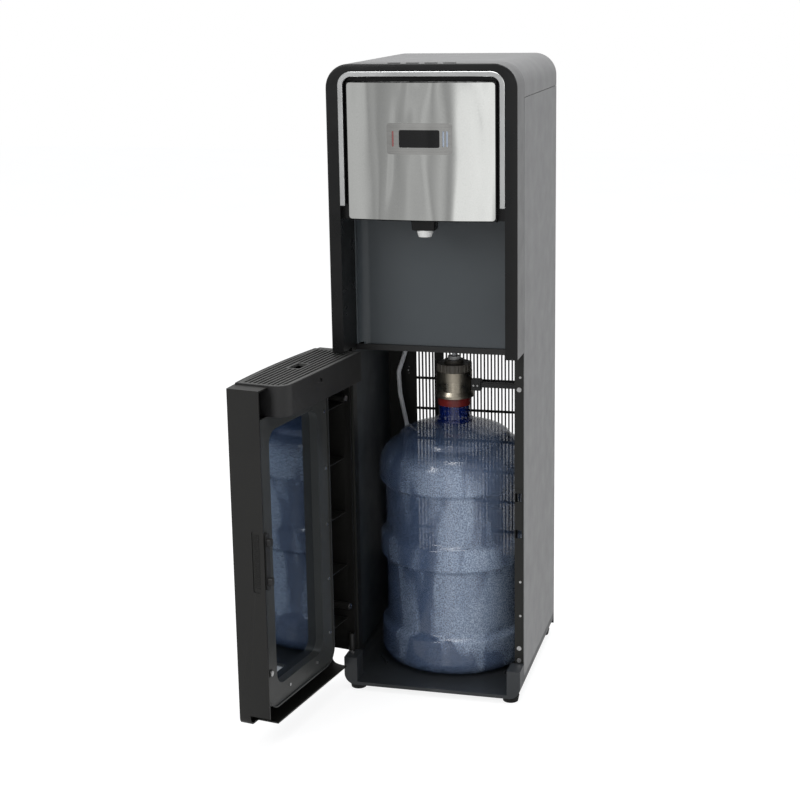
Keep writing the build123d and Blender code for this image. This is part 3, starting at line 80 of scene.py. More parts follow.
class Recipe:
    """A material under construction: one surface shader and the nodes that feed it."""

    def __init__(self, name: str) -> None:
        """Starts an empty material with its surface shader."""
        self.material = bpy.data.materials.new(name)
        self.material.use_nodes = True
        self.tree = self.material.node_tree
        self.shader = self.tree.nodes["Principled BSDF"]
        self.coordinates = self.tree.nodes.new("ShaderNodeTexCoord")

    def node(self, kind: str, **settings: object) -> bpy.types.Node:
        """Adds a node and sets its properties."""
        made = self.tree.nodes.new(kind)
        for key, value in settings.items():
            setattr(made, key, value)
        return made

    def link(self, start: bpy.types.NodeSocket, end: bpy.types.NodeSocket) -> None:
        """Joins an output to an input."""
        self.tree.links.new(start, end)

    def place(self, stretch: Sequence[float] = (1, 1, 1)) -> bpy.types.NodeSocket:
        """Object coordinates, stretched along each axis.

        Args:
            stretch: Factor per axis; a small one draws a pattern out along that axis.

        Returns:
            The vector output to drive a texture with.
        """
        mapping = self.node("ShaderNodeMapping")
        mapping.inputs["Scale"].default_value = tuple(stretch)
        self.link(self.coordinates.outputs["Object"], mapping.inputs["Vector"])
        return mapping.outputs["Vector"]

    def noise(
        self, scale: float, detail: float = 3.0, stretch: Sequence[float] = (1, 1, 1), warp: float = 0.0
    ) -> bpy.types.NodeSocket:
        """Noise between 0 and 1 over the object's own coordinates."""
        made = self.node("ShaderNodeTexNoise")
        made.inputs["Scale"].default_value = scale
        made.inputs["Detail"].default_value = detail
        made.inputs["Distortion"].default_value = warp
        self.link(self.place(stretch), made.inputs["Vector"])
        return made.outputs["Fac"]

    def spread(
        self, source: bpy.types.NodeSocket, low: float, high: float, start: float = 0.3, end: float = 0.7
    ) -> bpy.types.NodeSocket:
        """Maps a texture's start to end range onto low to high."""
        made = self.node("ShaderNodeMapRange")
        for key, value in (("From Min", start), ("From Max", end), ("To Min", low), ("To Max", high)):
            made.inputs[key].default_value = value
        self.link(source, made.inputs["Value"])
        return made.outputs["Result"]

    def colours(
        self, source: bpy.types.NodeSocket, stops: Sequence[tuple[float, Colour]]
    ) -> bpy.types.NodeSocket:
        """Turns a value into a colour by stops given as (position, display colour)."""
        made = self.node("ShaderNodeValToRGB")
        ramp = made.color_ramp
        while len(ramp.elements) < len(stops):
            ramp.elements.new(0.5)
        for element, (position, colour) in zip(ramp.elements, stops):
            element.position = position
            element.color = linear(colour)
        self.link(source, made.inputs["Fac"])
        return made.outputs["Color"]

    def product(self, first: bpy.types.NodeSocket, second: bpy.types.NodeSocket) -> bpy.types.NodeSocket:
        """Product of two values."""
        made = self.node("ShaderNodeMath", operation="MULTIPLY")
        self.link(first, made.inputs[0])
        self.link(second, made.inputs[1])
        return made.outputs["Value"]

    def relief(self, source: bpy.types.NodeSocket, strength: float, depth: float) -> None:
        """Raises a texture as fine relief, chained on any relief there is."""
        made = self.node("ShaderNodeBump")
        made.inputs["Strength"].default_value = strength
        made.inputs["Distance"].default_value = depth
        self.link(source, made.inputs["Height"])
        if self.shader.inputs["Normal"].links:
            self.link(self.shader.inputs["Normal"].links[0].from_socket, made.inputs["Normal"])
        self.link(made.outputs["Normal"], self.shader.inputs["Normal"])

    def set(self, **values: float) -> None:
        """Sets shader sockets by name, with underscores for spaces."""
        for key, value in values.items():
            self.shader.inputs[key.replace("_", " ")].default_value = value


@dataclass(frozen=True)
class Moulded:
    """Moulded or coated surface with a fine grain and a slight change of tone."""

    name: str
    colour: Colour
    shade: Colour
    roughness: float = 0.4
    grain: float = 900.0
    relief: float = 0.15
    specular: float = 0.5
    cloud_scale: float = 7.0
    wear_scale: float = 26.0
    wear: Range = (-0.05, 0.06)
    grain_depth: float = 0.0004

    def build(self) -> bpy.types.Material:
        """Makes the material."""
        recipe = Recipe(self.name)
        cloud = recipe.noise(self.cloud_scale, 4.0, warp=0.4)
        recipe.link(
            recipe.colours(cloud, [(0.3, self.shade), (0.72, self.colour)]),
            recipe.shader.inputs["Base Color"],
        )
        polished, worn = (self.roughness + change for change in self.wear)
        recipe.link(
            recipe.spread(recipe.noise(self.wear_scale, 5.0), polished, worn),
            recipe.shader.inputs["Roughness"],
        )
        recipe.relief(recipe.noise(self.grain, 2.0), self.relief, self.grain_depth)
        recipe.set(Specular_IOR_Level=self.specular)
        return recipe.material


class Brush(Enum):
    """Direction of a metal's brush lines, as the stretch of the noise that draws them."""

    ACROSS = (0.012, 1.0, 1.0)
    NONE = (1.0, 1.0, 1.0)


@dataclass(frozen=True)
class Metal:
    """Bare or plated metal with brush lines and a little uneven polish."""

    name: str
    colour: Colour
    shade: Colour
    roughness: float = 0.2
    brush: Brush = Brush.NONE
    lines: float = 700.0
    relief: float = 0.12
    ripple: float = 0.0
    line_depth: float = 0.0002
    ripple_scale: float = 15.0
    ripple_stretch: tuple[float, float, float] = (1.0, 1.0, 0.22)
    polish: Range = (0.75, 1.3)

    def build(self) -> bpy.types.Material:
        """Makes the material."""
        recipe = Recipe(self.name)
        streaks = recipe.noise(self.lines, 3.0, self.brush.value)
        recipe.link(
            recipe.colours(streaks, [(0.3, self.shade), (0.7, self.colour)]),
            recipe.shader.inputs["Base Color"],
        )
        patches = recipe.noise(self.lines * 0.2, 4.0, self.brush.value)
        bright, dull = (self.roughness * factor for factor in self.polish)
        recipe.link(recipe.spread(patches, bright, dull), recipe.shader.inputs["Roughness"])
        recipe.relief(streaks, self.relief, self.line_depth)
        if self.ripple:
            waves = recipe.noise(self.ripple_scale, 1.0, self.ripple_stretch, 0.5)
            recipe.relief(waves, 1.0, self.ripple)
        recipe.set(Metallic=1.0)
        return recipe.material


@dataclass(frozen=True)
class TintedWall:
    """Thin tinted wall that lets light through: clear where it is dry, pale where fine drops cover it.

    The pale share is the product of fine drops, runs that leave it bare, a dry shoulder and painted
    light that grows along X towards the side the light comes from. Heights and places are in metres.
    """

    name: str
    misted_and_lit: Colour
    clear: Colour
    neck: Colour
    cover: Range
    roughness: float = 0.08
    drop_scale: float = 480.0
    run_scale: float = 13.0
    run_edges: Range = (0.44, 0.54)
    # Painted light: X span over which the wall turns from its darker side to its paler lit side.
    dark_to_lit_side: Range = (-0.09, 0.05)
    dry_from: Range = (0.385, 0.415)
    neck_from: Range = (0.438, 0.45)
    neck_cover: float = 0.62

    def build(self) -> bpy.types.Material:
        """Makes the material."""
        recipe = Recipe(self.name)
        split = recipe.node("ShaderNodeSeparateXYZ")
        recipe.link(recipe.place(), split.inputs["Vector"])
        height = split.outputs["Z"]
        drops = recipe.spread(recipe.noise(self.drop_scale, 2.0), 0.4, 1.0, 0.4, 0.6)
        # Painted light: the wall turns paler towards +X, the side the light comes from.
        painted_sidelight = recipe.spread(split.outputs["X"], 0.5, 1.0, *self.dark_to_lit_side)
        streams = recipe.noise(self.run_scale, 5.0, (1, 1, 0.3), 0.8)
        runs = recipe.spread(streams, 0.25, 1.0, *self.run_edges)
        dry = recipe.spread(height, 1.0, 0.3, *self.dry_from)
        # Pale share: real drops, runs and dry shoulder, times the painted sidelight.
        mist_and_painted_light = recipe.product(recipe.product(drops, runs), recipe.product(dry, painted_sidelight))
        cloud = recipe.colours(mist_and_painted_light, [(0.0, self.clear), (1.0, self.misted_and_lit)])
        throat = recipe.spread(height, 0.0, 1.0, *self.neck_from)
        blend = recipe.node("ShaderNodeMix", data_type="RGBA")
        recipe.link(throat, blend.inputs["Factor"])
        recipe.link(cloud, blend.inputs["A"])
        blend.inputs["B"].default_value = linear(self.neck)
        recipe.link(blend.outputs["Result"], recipe.shader.inputs["Base Color"])
        thickness = recipe.node("ShaderNodeMath", operation="MAXIMUM")
        recipe.link(recipe.spread(mist_and_painted_light, *self.cover, 0.0, 1.0), thickness.inputs[0])
        recipe.link(recipe.spread(throat, 0.0, self.neck_cover, 0.0, 1.0), thickness.inputs[1])
        recipe.link(thickness.outputs["Value"], recipe.shader.inputs["Alpha"])
        recipe.relief(recipe.noise(14.0, 2.0, (1, 1, 0.35)), 0.22, 0.004)
        recipe.relief(mist_and_painted_light, 0.25, 0.0005)
        recipe.set(Roughness=self.roughness, Specular_IOR_Level=0.9)
        return recipe.material


@dataclass(frozen=True)
class SmokedPane:
    """Dark pane that mirrors what stands before it."""

    name: str
    colour: Colour
    shade: Colour
    roughness: float = 0.05

    def build(self) -> bpy.types.Material:
        """Makes the material."""
        recipe = Recipe(self.name)
        recipe.link(
            recipe.colours(recipe.noise(5.0), [(0.3, self.shade), (0.7, self.colour)]),
            recipe.shader.inputs["Base Color"],
        )
        recipe.relief(recipe.noise(16.0, 2.0), 0.05, 0.002)
        recipe.set(Metallic=1.0, Roughness=self.roughness)
        return recipe.material


@dataclass(frozen=True)
class LampLens:
    """Row of lamp lenses whose colour changes from one side of the display to the other."""

    name: str
    left: Colour
    right: Colour
    change: Range = (-0.01, 0.01)

    def build(self) -> bpy.types.Material:
        """Makes the material."""
        recipe = Recipe(self.name)
        split = recipe.node("ShaderNodeSeparateXYZ")
        recipe.link(recipe.place(), split.inputs["Vector"])
        across = recipe.spread(split.outputs["X"], 0.0, 1.0, *self.change)
        recipe.link(
            recipe.colours(across, [(0.0, self.left), (1.0, self.right)]),
            recipe.shader.inputs["Base Color"],
        )
        recipe.relief(recipe.noise(900.0), 0.1, 0.0002)
        recipe.set(Roughness=0.3, Specular_IOR_Level=0.6)
        return recipe.material


class Finishes:
    """The cooler's finishes, each built once and handed out by its maker's name."""

    CHOICES = (
        Moulded("grey_coat", (0.462, 0.462, 0.464), (0.456, 0.456, 0.458), 0.42, 1500.0, 0.08),
        Moulded("grey_moulding", (0.455, 0.455, 0.457), (0.45, 0.45, 0.452), 0.4, 1300.0, 0.08),
        # Painted shade: a darker copy of grey_moulding for the front band, whose rounded face gets less
        # light.
        Moulded("grey_moulding_painted_shade", (0.405, 0.405, 0.407), (0.395, 0.395, 0.397), 0.4, 1300.0, 0.08),
        Moulded("black_face", (0.045, 0.048, 0.05), (0.04, 0.042, 0.045), 0.3, 1200.0, 0.06, 0.35),
        Moulded("black_door", (0.1, 0.098, 0.09), (0.09, 0.089, 0.083), 0.36, 1100.0, 0.08, 0.45),
        Moulded("black_moulding", (0.12, 0.12, 0.12), (0.1, 0.1, 0.102), 0.46, 1000.0, 0.12),
        Moulded("black_steel", (0.09, 0.092, 0.08), (0.08, 0.081, 0.072), 0.42, 1300.0, 0.1, 0.4),
        Moulded("black_liner", (0.21, 0.235, 0.25), (0.19, 0.21, 0.23), 0.5, 1100.0, 0.1),
        # Painted sheen: a lighter copy of black_moulding for the door's land, standing in for the light it
        # catches.
        Moulded("black_moulding_painted_sheen", (0.2, 0.205, 0.2), (0.17, 0.174, 0.17), 0.33, 1000.0, 0.12),
        Moulded("black_base", (0.19, 0.2, 0.21), (0.16, 0.17, 0.18), 0.38, 1000.0, 0.12),
        Moulded("collar_dark", (0.36, 0.34, 0.31), (0.28, 0.27, 0.25), 0.42, 800.0, 0.2),
        Moulded("slate_panel", (0.275, 0.297, 0.31), (0.265, 0.285, 0.3), 0.36, 1300.0, 0.08),
        Moulded("grille_dark", (0.3, 0.3, 0.295), (0.27, 0.27, 0.265), 0.5, 1000.0, 0.1, 0.4),
        Moulded("white_moulding", (0.86, 0.86, 0.85), (0.83, 0.83, 0.82), 0.3),
        Moulded("hose_white", (0.97, 0.975, 0.98), (0.94, 0.945, 0.955), 0.3),
        Moulded("rubber_black", (0.1, 0.1, 0.1), (0.07, 0.07, 0.07), 0.7, 700.0, 0.3, 0.3),
        Moulded("coil_black", (0.07, 0.07, 0.07), (0.05, 0.05, 0.05), 0.35),
        Moulded("display_dark", (0.03, 0.03, 0.035), (0.02, 0.02, 0.025), 0.1, 1200.0, 0.02),
        Moulded("cap_red", (0.5, 0.15, 0.14), (0.36, 0.1, 0.1), 0.35, 400.0, 0.2),
        Moulded("foam_jacket", (0.88, 0.87, 0.83), (0.8, 0.79, 0.75), 0.8, 300.0, 0.6, 0.2),
        Moulded("board_green", (0.1, 0.35, 0.2), (0.08, 0.3, 0.16), 0.4),
        Moulded("rocker_red", (0.7, 0.08, 0.07), (0.62, 0.06, 0.06), 0.25),
        Metal("steel_face", (0.86, 0.865, 0.855), (0.82, 0.825, 0.815), 0.05, lines=900.0, relief=0.02,
              ripple=0.0022),
        Metal("steel_surround", (0.8, 0.8, 0.79), (0.76, 0.76, 0.75), 0.12, Brush.ACROSS, 500.0, 0.03),
        Metal("bright_trim", (0.82, 0.825, 0.825), (0.8, 0.805, 0.805), 0.3, lines=40.0, relief=0.0),
        Metal("screw_metal", (0.82, 0.82, 0.82), (0.72, 0.72, 0.72), 0.25, lines=300.0, relief=0.2),
        Metal("probe_metal", (0.72, 0.69, 0.63), (0.68, 0.65, 0.59), 0.33, Brush.ACROSS, 300.0, 0.04),
        Metal("galvanised", (0.7, 0.7, 0.7), (0.55, 0.55, 0.56), 0.4, lines=60.0, relief=0.1),
        Metal("copper_line", (0.85, 0.55, 0.42), (0.72, 0.42, 0.3), 0.3, lines=120.0, relief=0.1),
        TintedWall("bottle_blue", (0.68, 0.74, 0.82), (0.3, 0.38, 0.52), (0.05, 0.14, 0.42), (0.42, 0.84)),
        TintedWall("tube_clear", (0.9, 0.92, 0.93), (0.84, 0.87, 0.9), (0.86, 0.88, 0.9), (0.7, 0.85)),
        SmokedPane("dark_pane", (0.64, 0.67, 0.7), (0.6, 0.63, 0.66)),
        LampLens("lamp_lens", (0.52, 0.3, 0.29), (0.6, 0.64, 0.7)),
    )

    def __init__(self) -> None:
        """Indexes the finishes; each is built when first asked for."""
        self._made: dict[str, bpy.types.Material] = {}

    def get(self, name: str) -> bpy.types.Material:
        """Returns the named finish as a material."""
        if name not in self._made:
            choice = next(c for c in self.CHOICES if c.name == name)
            self._made[name] = choice.build()
        return self._made[name]


# ------------------------------------------------------------------------------ surface building
# Points of a new surface that lie closer than this, in metres, become one point.
MERGE_REACH = 1e-6


def grid_faces(rows: int, columns: int, wrap: bool) -> np.ndarray:
    """Quads between the points of a grid stored row by row.

    Args:
        rows: Points along the first parameter.
        columns: Points along the second parameter.
        wrap: Whether the second parameter closes on itself.

    Returns:
        An array of quads as point numbers.
    """
    row = np.arange(rows - 1)[:, None]
    column = np.arange(columns if wrap else columns - 1)[None, :]
    after = (column + 1) % columns
    corners = (row * columns + column, row * columns + after, (row + 1) * columns + after,
               (row + 1) * columns + column)
    return np.stack([np.broadcast_to(c, (rows - 1, column.size)) for c in corners], -1).reshape(-1, 4)


def surface(name: str, shells: Iterable[Shell], smooth: float = 40.0) -> bpy.types.Object:
    """Makes one mesh object of several point grids, with doubles merged and faces outwards.

    Args:
        name: Name of the piece.
        shells: Pairs of points and faces.
        smooth: Largest angle in degrees that is still shaded smooth.

    Returns:
        The new object, at the origin.
    """
    points, faces, offset = [], [], 0
    for shell_points, shell_faces in shells:
        points.append(shell_points.reshape(-1, 3))
        faces.append(shell_faces + offset)
        offset += len(points[-1])
    mesh = bpy.data.meshes.new(name)
    mesh.from_pydata(np.concatenate(points).tolist(), [], [f for part in faces for f in part.tolist()])
    shape = bmesh.new()
    shape.from_mesh(mesh)
    bmesh.ops.remove_doubles(shape, verts=shape.verts, dist=MERGE_REACH)
    bmesh.ops.recalc_face_normals(shape, faces=shape.faces)
    shape.to_mesh(mesh)
    shape.free()
    mesh.shade_smooth()
    mesh.set_sharp_from_angle(angle=math.radians(smooth))
    made = bpy.data.objects.new(name, mesh)
    bpy.context.scene.collection.objects.link(made)
    return made


def chaikin(points: np.ndarray, times: int) -> np.ndarray:
    """Rounds a profile by cutting each corner at a quarter and three quarters of its sides.

    Args:
        points: Corners of an open profile; its two ends stay.
        times: Rounds of cutting.

    Returns:
        The rounded profile.
    """
    for _ in range(times):
        start, end = points[:-1], points[1:]
        cuts = np.stack([0.75 * start + 0.25 * end, 0.25 * start + 0.75 * end], 1)
        points = np.concatenate([points[:1], cuts.reshape(-1, points.shape[1]), points[-1:]])
    return points


def turned(profile: np.ndarray, sides: int, centre: Sequence[float]) -> Shell:
    """Surface of revolution about an upright axis.

    The point for profile step i and angle a is (radius cos a, radius sin a, height) from the centre.

    Args:
        profile: Points (radius, height), a closed ring or from pole to pole.
        sides: Steps round the axis.
        centre: Point that height 0 stands on.

    Returns:
        The points and the quads.
    """
    angle = np.linspace(0, 2 * np.pi, sides, endpoint=False)[None, :]
    radius, height = profile[:, :1], profile[:, 1:2]
    points = np.stack(
        [radius * np.cos(angle), radius * np.sin(angle), np.broadcast_to(height, (len(profile), sides))], -1
    )
    return points + np.asarray(centre), grid_faces(len(profile), sides, True)


class Workshop:
    """Dresses frame parts and adds new pieces, and reports each one.

    A copied part is welded within the weld reach, in metres. Faces that meet flatter than the flat
    angle become one, and edges sharper than the roll angle are rolled over.
    """

    weld_reach: float = 2e-6
    flat_angle: float = math.radians(0.6)
    smooth_angle: float = math.radians(28)
    roll_angle: float = math.radians(34)
    roll_facets: int = 2

    def __init__(self, finishes: Finishes) -> None:
        """Keeps the finishes that pieces are dressed with."""
        self.finishes = finishes
        self.nodes: dict[str, bpy.types.Object] = frame["nodes"]

    def dress(self, finish: str, *nodes: str) -> None:
        """Gives frame parts a finish."""
        for node in nodes:
            mesh = self.nodes[node].data
            mesh.materials.clear()
            mesh.materials.append(self.finishes.get(finish))
            LOG.info("dressed %s in %s", node, finish)

    def add(
        self, piece: bpy.types.Object, body: Body, finish: str, slot: str, *stands_for: str
    ) -> bpy.types.Object:
        """Finishes a new piece and ties it to its moving group.

        Args:
            piece: The new object.
            body: Group it moves with.
            finish: Name of its finish.
            slot: The record's slot for it; not used.
            stands_for: Frame parts that it replaces.

        Returns:
            The same object.
        """
        piece.data.materials.clear()
        piece.data.materials.append(self.finishes.get(finish))
        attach(piece, body.value)
        if stands_for:
            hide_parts(*stands_for)
        LOG.info("made %s with %d faces", piece.name, len(piece.data.polygons))
        return piece

    def soften(self, node: str, body: Body, finish: str, slot: str, width: float) -> bpy.types.Object:
        """Copies a frame part with its points merged and rolls its sharp edges over.

        Args:
            node: Frame part to copy.
            body: Group it moves with.
            finish: Name of its finish.
            slot: The record's slot for it; not used.
            width: Width of the rolled edge.

        Returns:
            The new object, which replaces the frame part.
        """
        source = self.nodes[node].data
        shape = bmesh.new()
        shape.from_mesh(source)
        bmesh.ops.remove_doubles(shape, verts=shape.verts, dist=self.weld_reach)
        bmesh.ops.dissolve_limit(
            shape, angle_limit=self.flat_angle, verts=shape.verts, edges=shape.edges,
            use_dissolve_boundaries=False,
        )
        mesh = bpy.data.meshes.new(f"{node}_soft")
        shape.to_mesh(mesh)
        shape.free()
        mesh.shade_smooth()
        mesh.set_sharp_from_angle(angle=self.smooth_angle)
        made = bpy.data.objects.new(f"{node}_soft", mesh)
        bpy.context.scene.collection.objects.link(made)
        roll = made.modifiers.new("roll", "BEVEL")
        roll.width = width
        roll.segments = self.roll_facets
        roll.limit_method = "ANGLE"
        roll.angle_limit = self.roll_angle
        roll.harden_normals = True
        roll.use_clamp_overlap = True
        return self.add(made, body, finish, slot, node)


# ------------------------------------------------------------------------------ sub-assemblies
@dataclass
class Cabinet:
    """Outer housing: base, sides, top, rear and the black frame of the bay."""

    edge: float = 0.0006

    def build(self, shop: Workshop) -> None:
        """Dresses the housing."""
        shop.dress("grey_coat", "side_panel_left", "side_panel_right", "rear_cover")
        shop.dress("black_steel", "front_posts", "rear_frame", "strike_plate")
        shop.dress("black_liner", "side_liners")
        shop.dress("black_moulding", "mid_shelf", "switch_frame")
        shop.dress("rubber_black", "feet", "cord_gland", "compressor_grommets")
        shop.dress("rocker_red", "hot_switch")
        shop.dress("white_moulding", "drain_cap", "water_pump")
        shop.dress("coil_black", "condenser_tube", "condenser_wires", "compressor")
        shop.dress("foam_jacket", "cold_tank", "hot_tank")
        shop.dress("galvanised", "tank_bracket")
        shop.dress("board_green", "control_board", "button_board")
        shop.dress("hose_white", "water_lines")
        shop.dress("copper_line", "refrigerant_lines")
        shop.soften("top_cover", Body.CABINET, "grey_moulding", "grey_moulding", self.edge)
        shop.dress("black_base", "base_pan")


@dataclass
class FrontModule:
    """Head of the cooler: grey band, black bezel, trim, fascia, display, spout and buttons."""

    edge: float = 0.0008
    band_edge: float = 0.0005
    button_count: int = 4

    def build(self, shop: Workshop) -> None:
        """Dresses the head and rolls its visible edges."""
        # The front band wears a darker copy of grey_moulding as painted shade.
        shop.soften("front_frame", Body.CABINET, "grey_moulding_painted_shade", "grey_moulding", self.band_edge)
        shop.soften("bezel", Body.CABINET, "black_face", "black_face", self.edge)
        shop.soften("fascia_housing", Body.CABINET, "black_face", "black_moulding", self.edge)
        shop.soften("spout_housing", Body.CABINET, "black_face", "black_moulding", self.edge)
        shop.soften("splash_panel", Body.CABINET, "slate_panel", "slate_panel", self.edge)
        shop.dress("bright_trim", "chrome_trim")
        shop.dress("steel_face", "fascia_plate")
        shop.dress("steel_surround", "display_plate")
        shop.dress("display_dark", "display_window")
        shop.dress("lamp_lens", "indicator_lamps")
        shop.dress("white_moulding", "spout_nozzle")
        shop.dress("black_face", *[f"button_{i + 1}" for i in range(self.button_count)])


@dataclass
class Door:
    """The open door with its frame, pane, catch, screws, tray and grille."""

    edge: float = 0.0009

    def build(self, shop: Workshop) -> None:
        """Dresses the door and rolls its visible edges."""
        shop.soften("door_shell", Body.DOOR, "black_door", "black_door", self.edge)
        # The land wears a lighter copy of black_moulding as painted sheen.
        shop.soften("door_inner_frame", Body.DOOR, "black_moulding_painted_sheen", "black_moulding", self.edge)
        shop.soften("drip_tray", Body.DOOR, "black_moulding", "black_moulding", self.edge)
        shop.dress("dark_pane", "door_pane")
        shop.dress("screw_metal", "door_screws", "hinge_pins", "post_screws")
        shop.dress("black_moulding", "door_catch")
        shop.dress("grille_dark", "drip_grille")


@dataclass
class BottleBay:
    """The bottle with its cap and probe, and the drain hose behind it."""

    centre: tuple[float, float] = (0.004, 0.0205)
    base: float = 0.016
    wide: float = 0.134
    waist: float = 0.1235
    throat: float = 0.0275
    top: float = 0.474
    wall: float = 0.0015
    sides: int = 128
    ring_sides: int = 64
    arm_edge: float = 0.0012

    def outline(self, inset: float) -> np.ndarray:
        """Profile of one wall face from the base's middle to the mouth.

        Args:
            inset: Distance inside the outer face.

        Returns:
            Points (radius, height), with each ring, waist and shoulder rounded.
        """
        wide, waist, throat = self.wide - inset, self.waist - inset, self.throat - inset
        foot = [
            (0.0, 0.009 + inset), (0.07, 0.006 + inset), (wide - 0.026, 0.0005 + inset),
            (wide - 0.012, 0.001 + inset), (wide, 0.014 + inset),
        ]
        low_ring = [(wide, 0.03), (wide, 0.062), (wide - 0.001, 0.066)]
        low_waist = [(waist, 0.073), (waist, 0.08), (waist, 0.18), (waist, 0.187)]
        middle_ring = [(wide - 0.0008, 0.193), (wide, 0.199), (wide, 0.226), (wide - 0.0008, 0.232)]
        high_waist = [(waist, 0.239), (waist, 0.245), (waist, 0.315), (waist, 0.322)]
        high_ring = [(wide - 0.0008, 0.329), (wide, 0.335), (wide, 0.356), (wide - 0.002, 0.37)]
        shoulder = [
            (wide - 0.008, 0.382), (wide - 0.019, 0.3925 - inset), (wide - 0.03, 0.3985 - inset),
            (wide - 0.0335, 0.4005 - inset), (wide - 0.0345, 0.4045 - inset), (wide - 0.039, 0.411 - inset),
            (wide - 0.052, 0.4175 - inset), (wide - 0.07, 0.4225 - inset), (0.046 - inset, 0.4275 - inset),
        ]
        neck = [
            (0.036 - inset, 0.4285), (throat + 0.0035, 0.4315), (throat, 0.437), (throat, 0.445),
            (throat, self.top),
        ]
        corners = np.array(
            foot + low_ring + low_waist + middle_ring + high_waist + high_ring + shoulder + neck
        )
        return chaikin(corners, 2)

    def bottle(self) -> bpy.types.Object:
        """Bottle wall: the outer outline up to the mouth and the inner one back down, turned."""
        outer, inner = self.outline(0.0), self.outline(self.wall)
        profile = np.concatenate([outer, inner[::-1]])
        # Moulded ring round the foot of the neck, as a closed profile.
        ring = np.array(
            [(0.028, 0.4305), (0.0325, 0.4315), (0.0325, 0.4365), (0.028, 0.4375), (0.028, 0.4305)]
        )
        place = (*self.centre, self.base)
        shells = [turned(profile, self.sides, place), turned(ring, self.ring_sides, place)]
        return surface("bottle_wall", shells, smooth=60)

    def build(self, shop: Workshop) -> None:
        """Makes the bottle and dresses the probe."""
        shop.add(self.bottle(), Body.CABINET, "bottle_blue", "bottle_blue", "bottle")
        shop.dress("cap_red", "bottle_cap")
        shop.dress("probe_metal", "probe_collar")
        shop.dress("collar_dark", "probe_cap")
        shop.dress("white_moulding", "probe_fitting")
        shop.dress("tube_clear", "dip_tube")
        shop.dress("screw_metal", "arm_pins")
        shop.dress("hose_white", "drain_hose")
        shop.soften("probe_arm", Body.CABINET, "black_moulding", "black_moulding", self.arm_edge)


# ------------------------------------------------------------------------------ studio
@dataclass(frozen=True)
class Softbox:
    """Rectangular lamp that faces a point."""

    name: str
    place: tuple[float, float, float]
    aim: tuple[float, float, float]
    size: tuple[float, float]
    power: float

    def build(self) -> None:
        """Adds the lamp."""
        lamp = bpy.data.lights.new(self.name, "AREA")
        lamp.shape = "RECTANGLE"
        lamp.size, lamp.size_y = self.size
        lamp.energy = self.power
        made = bpy.data.objects.new(self.name, lamp)
        bpy.context.scene.collection.objects.link(made)
        turn = (Vector(self.aim) - Vector(self.place)).to_track_quat("-Z", "Y").to_matrix().to_4x4()
        made.matrix_world = Matrix.Translation(self.place) @ turn


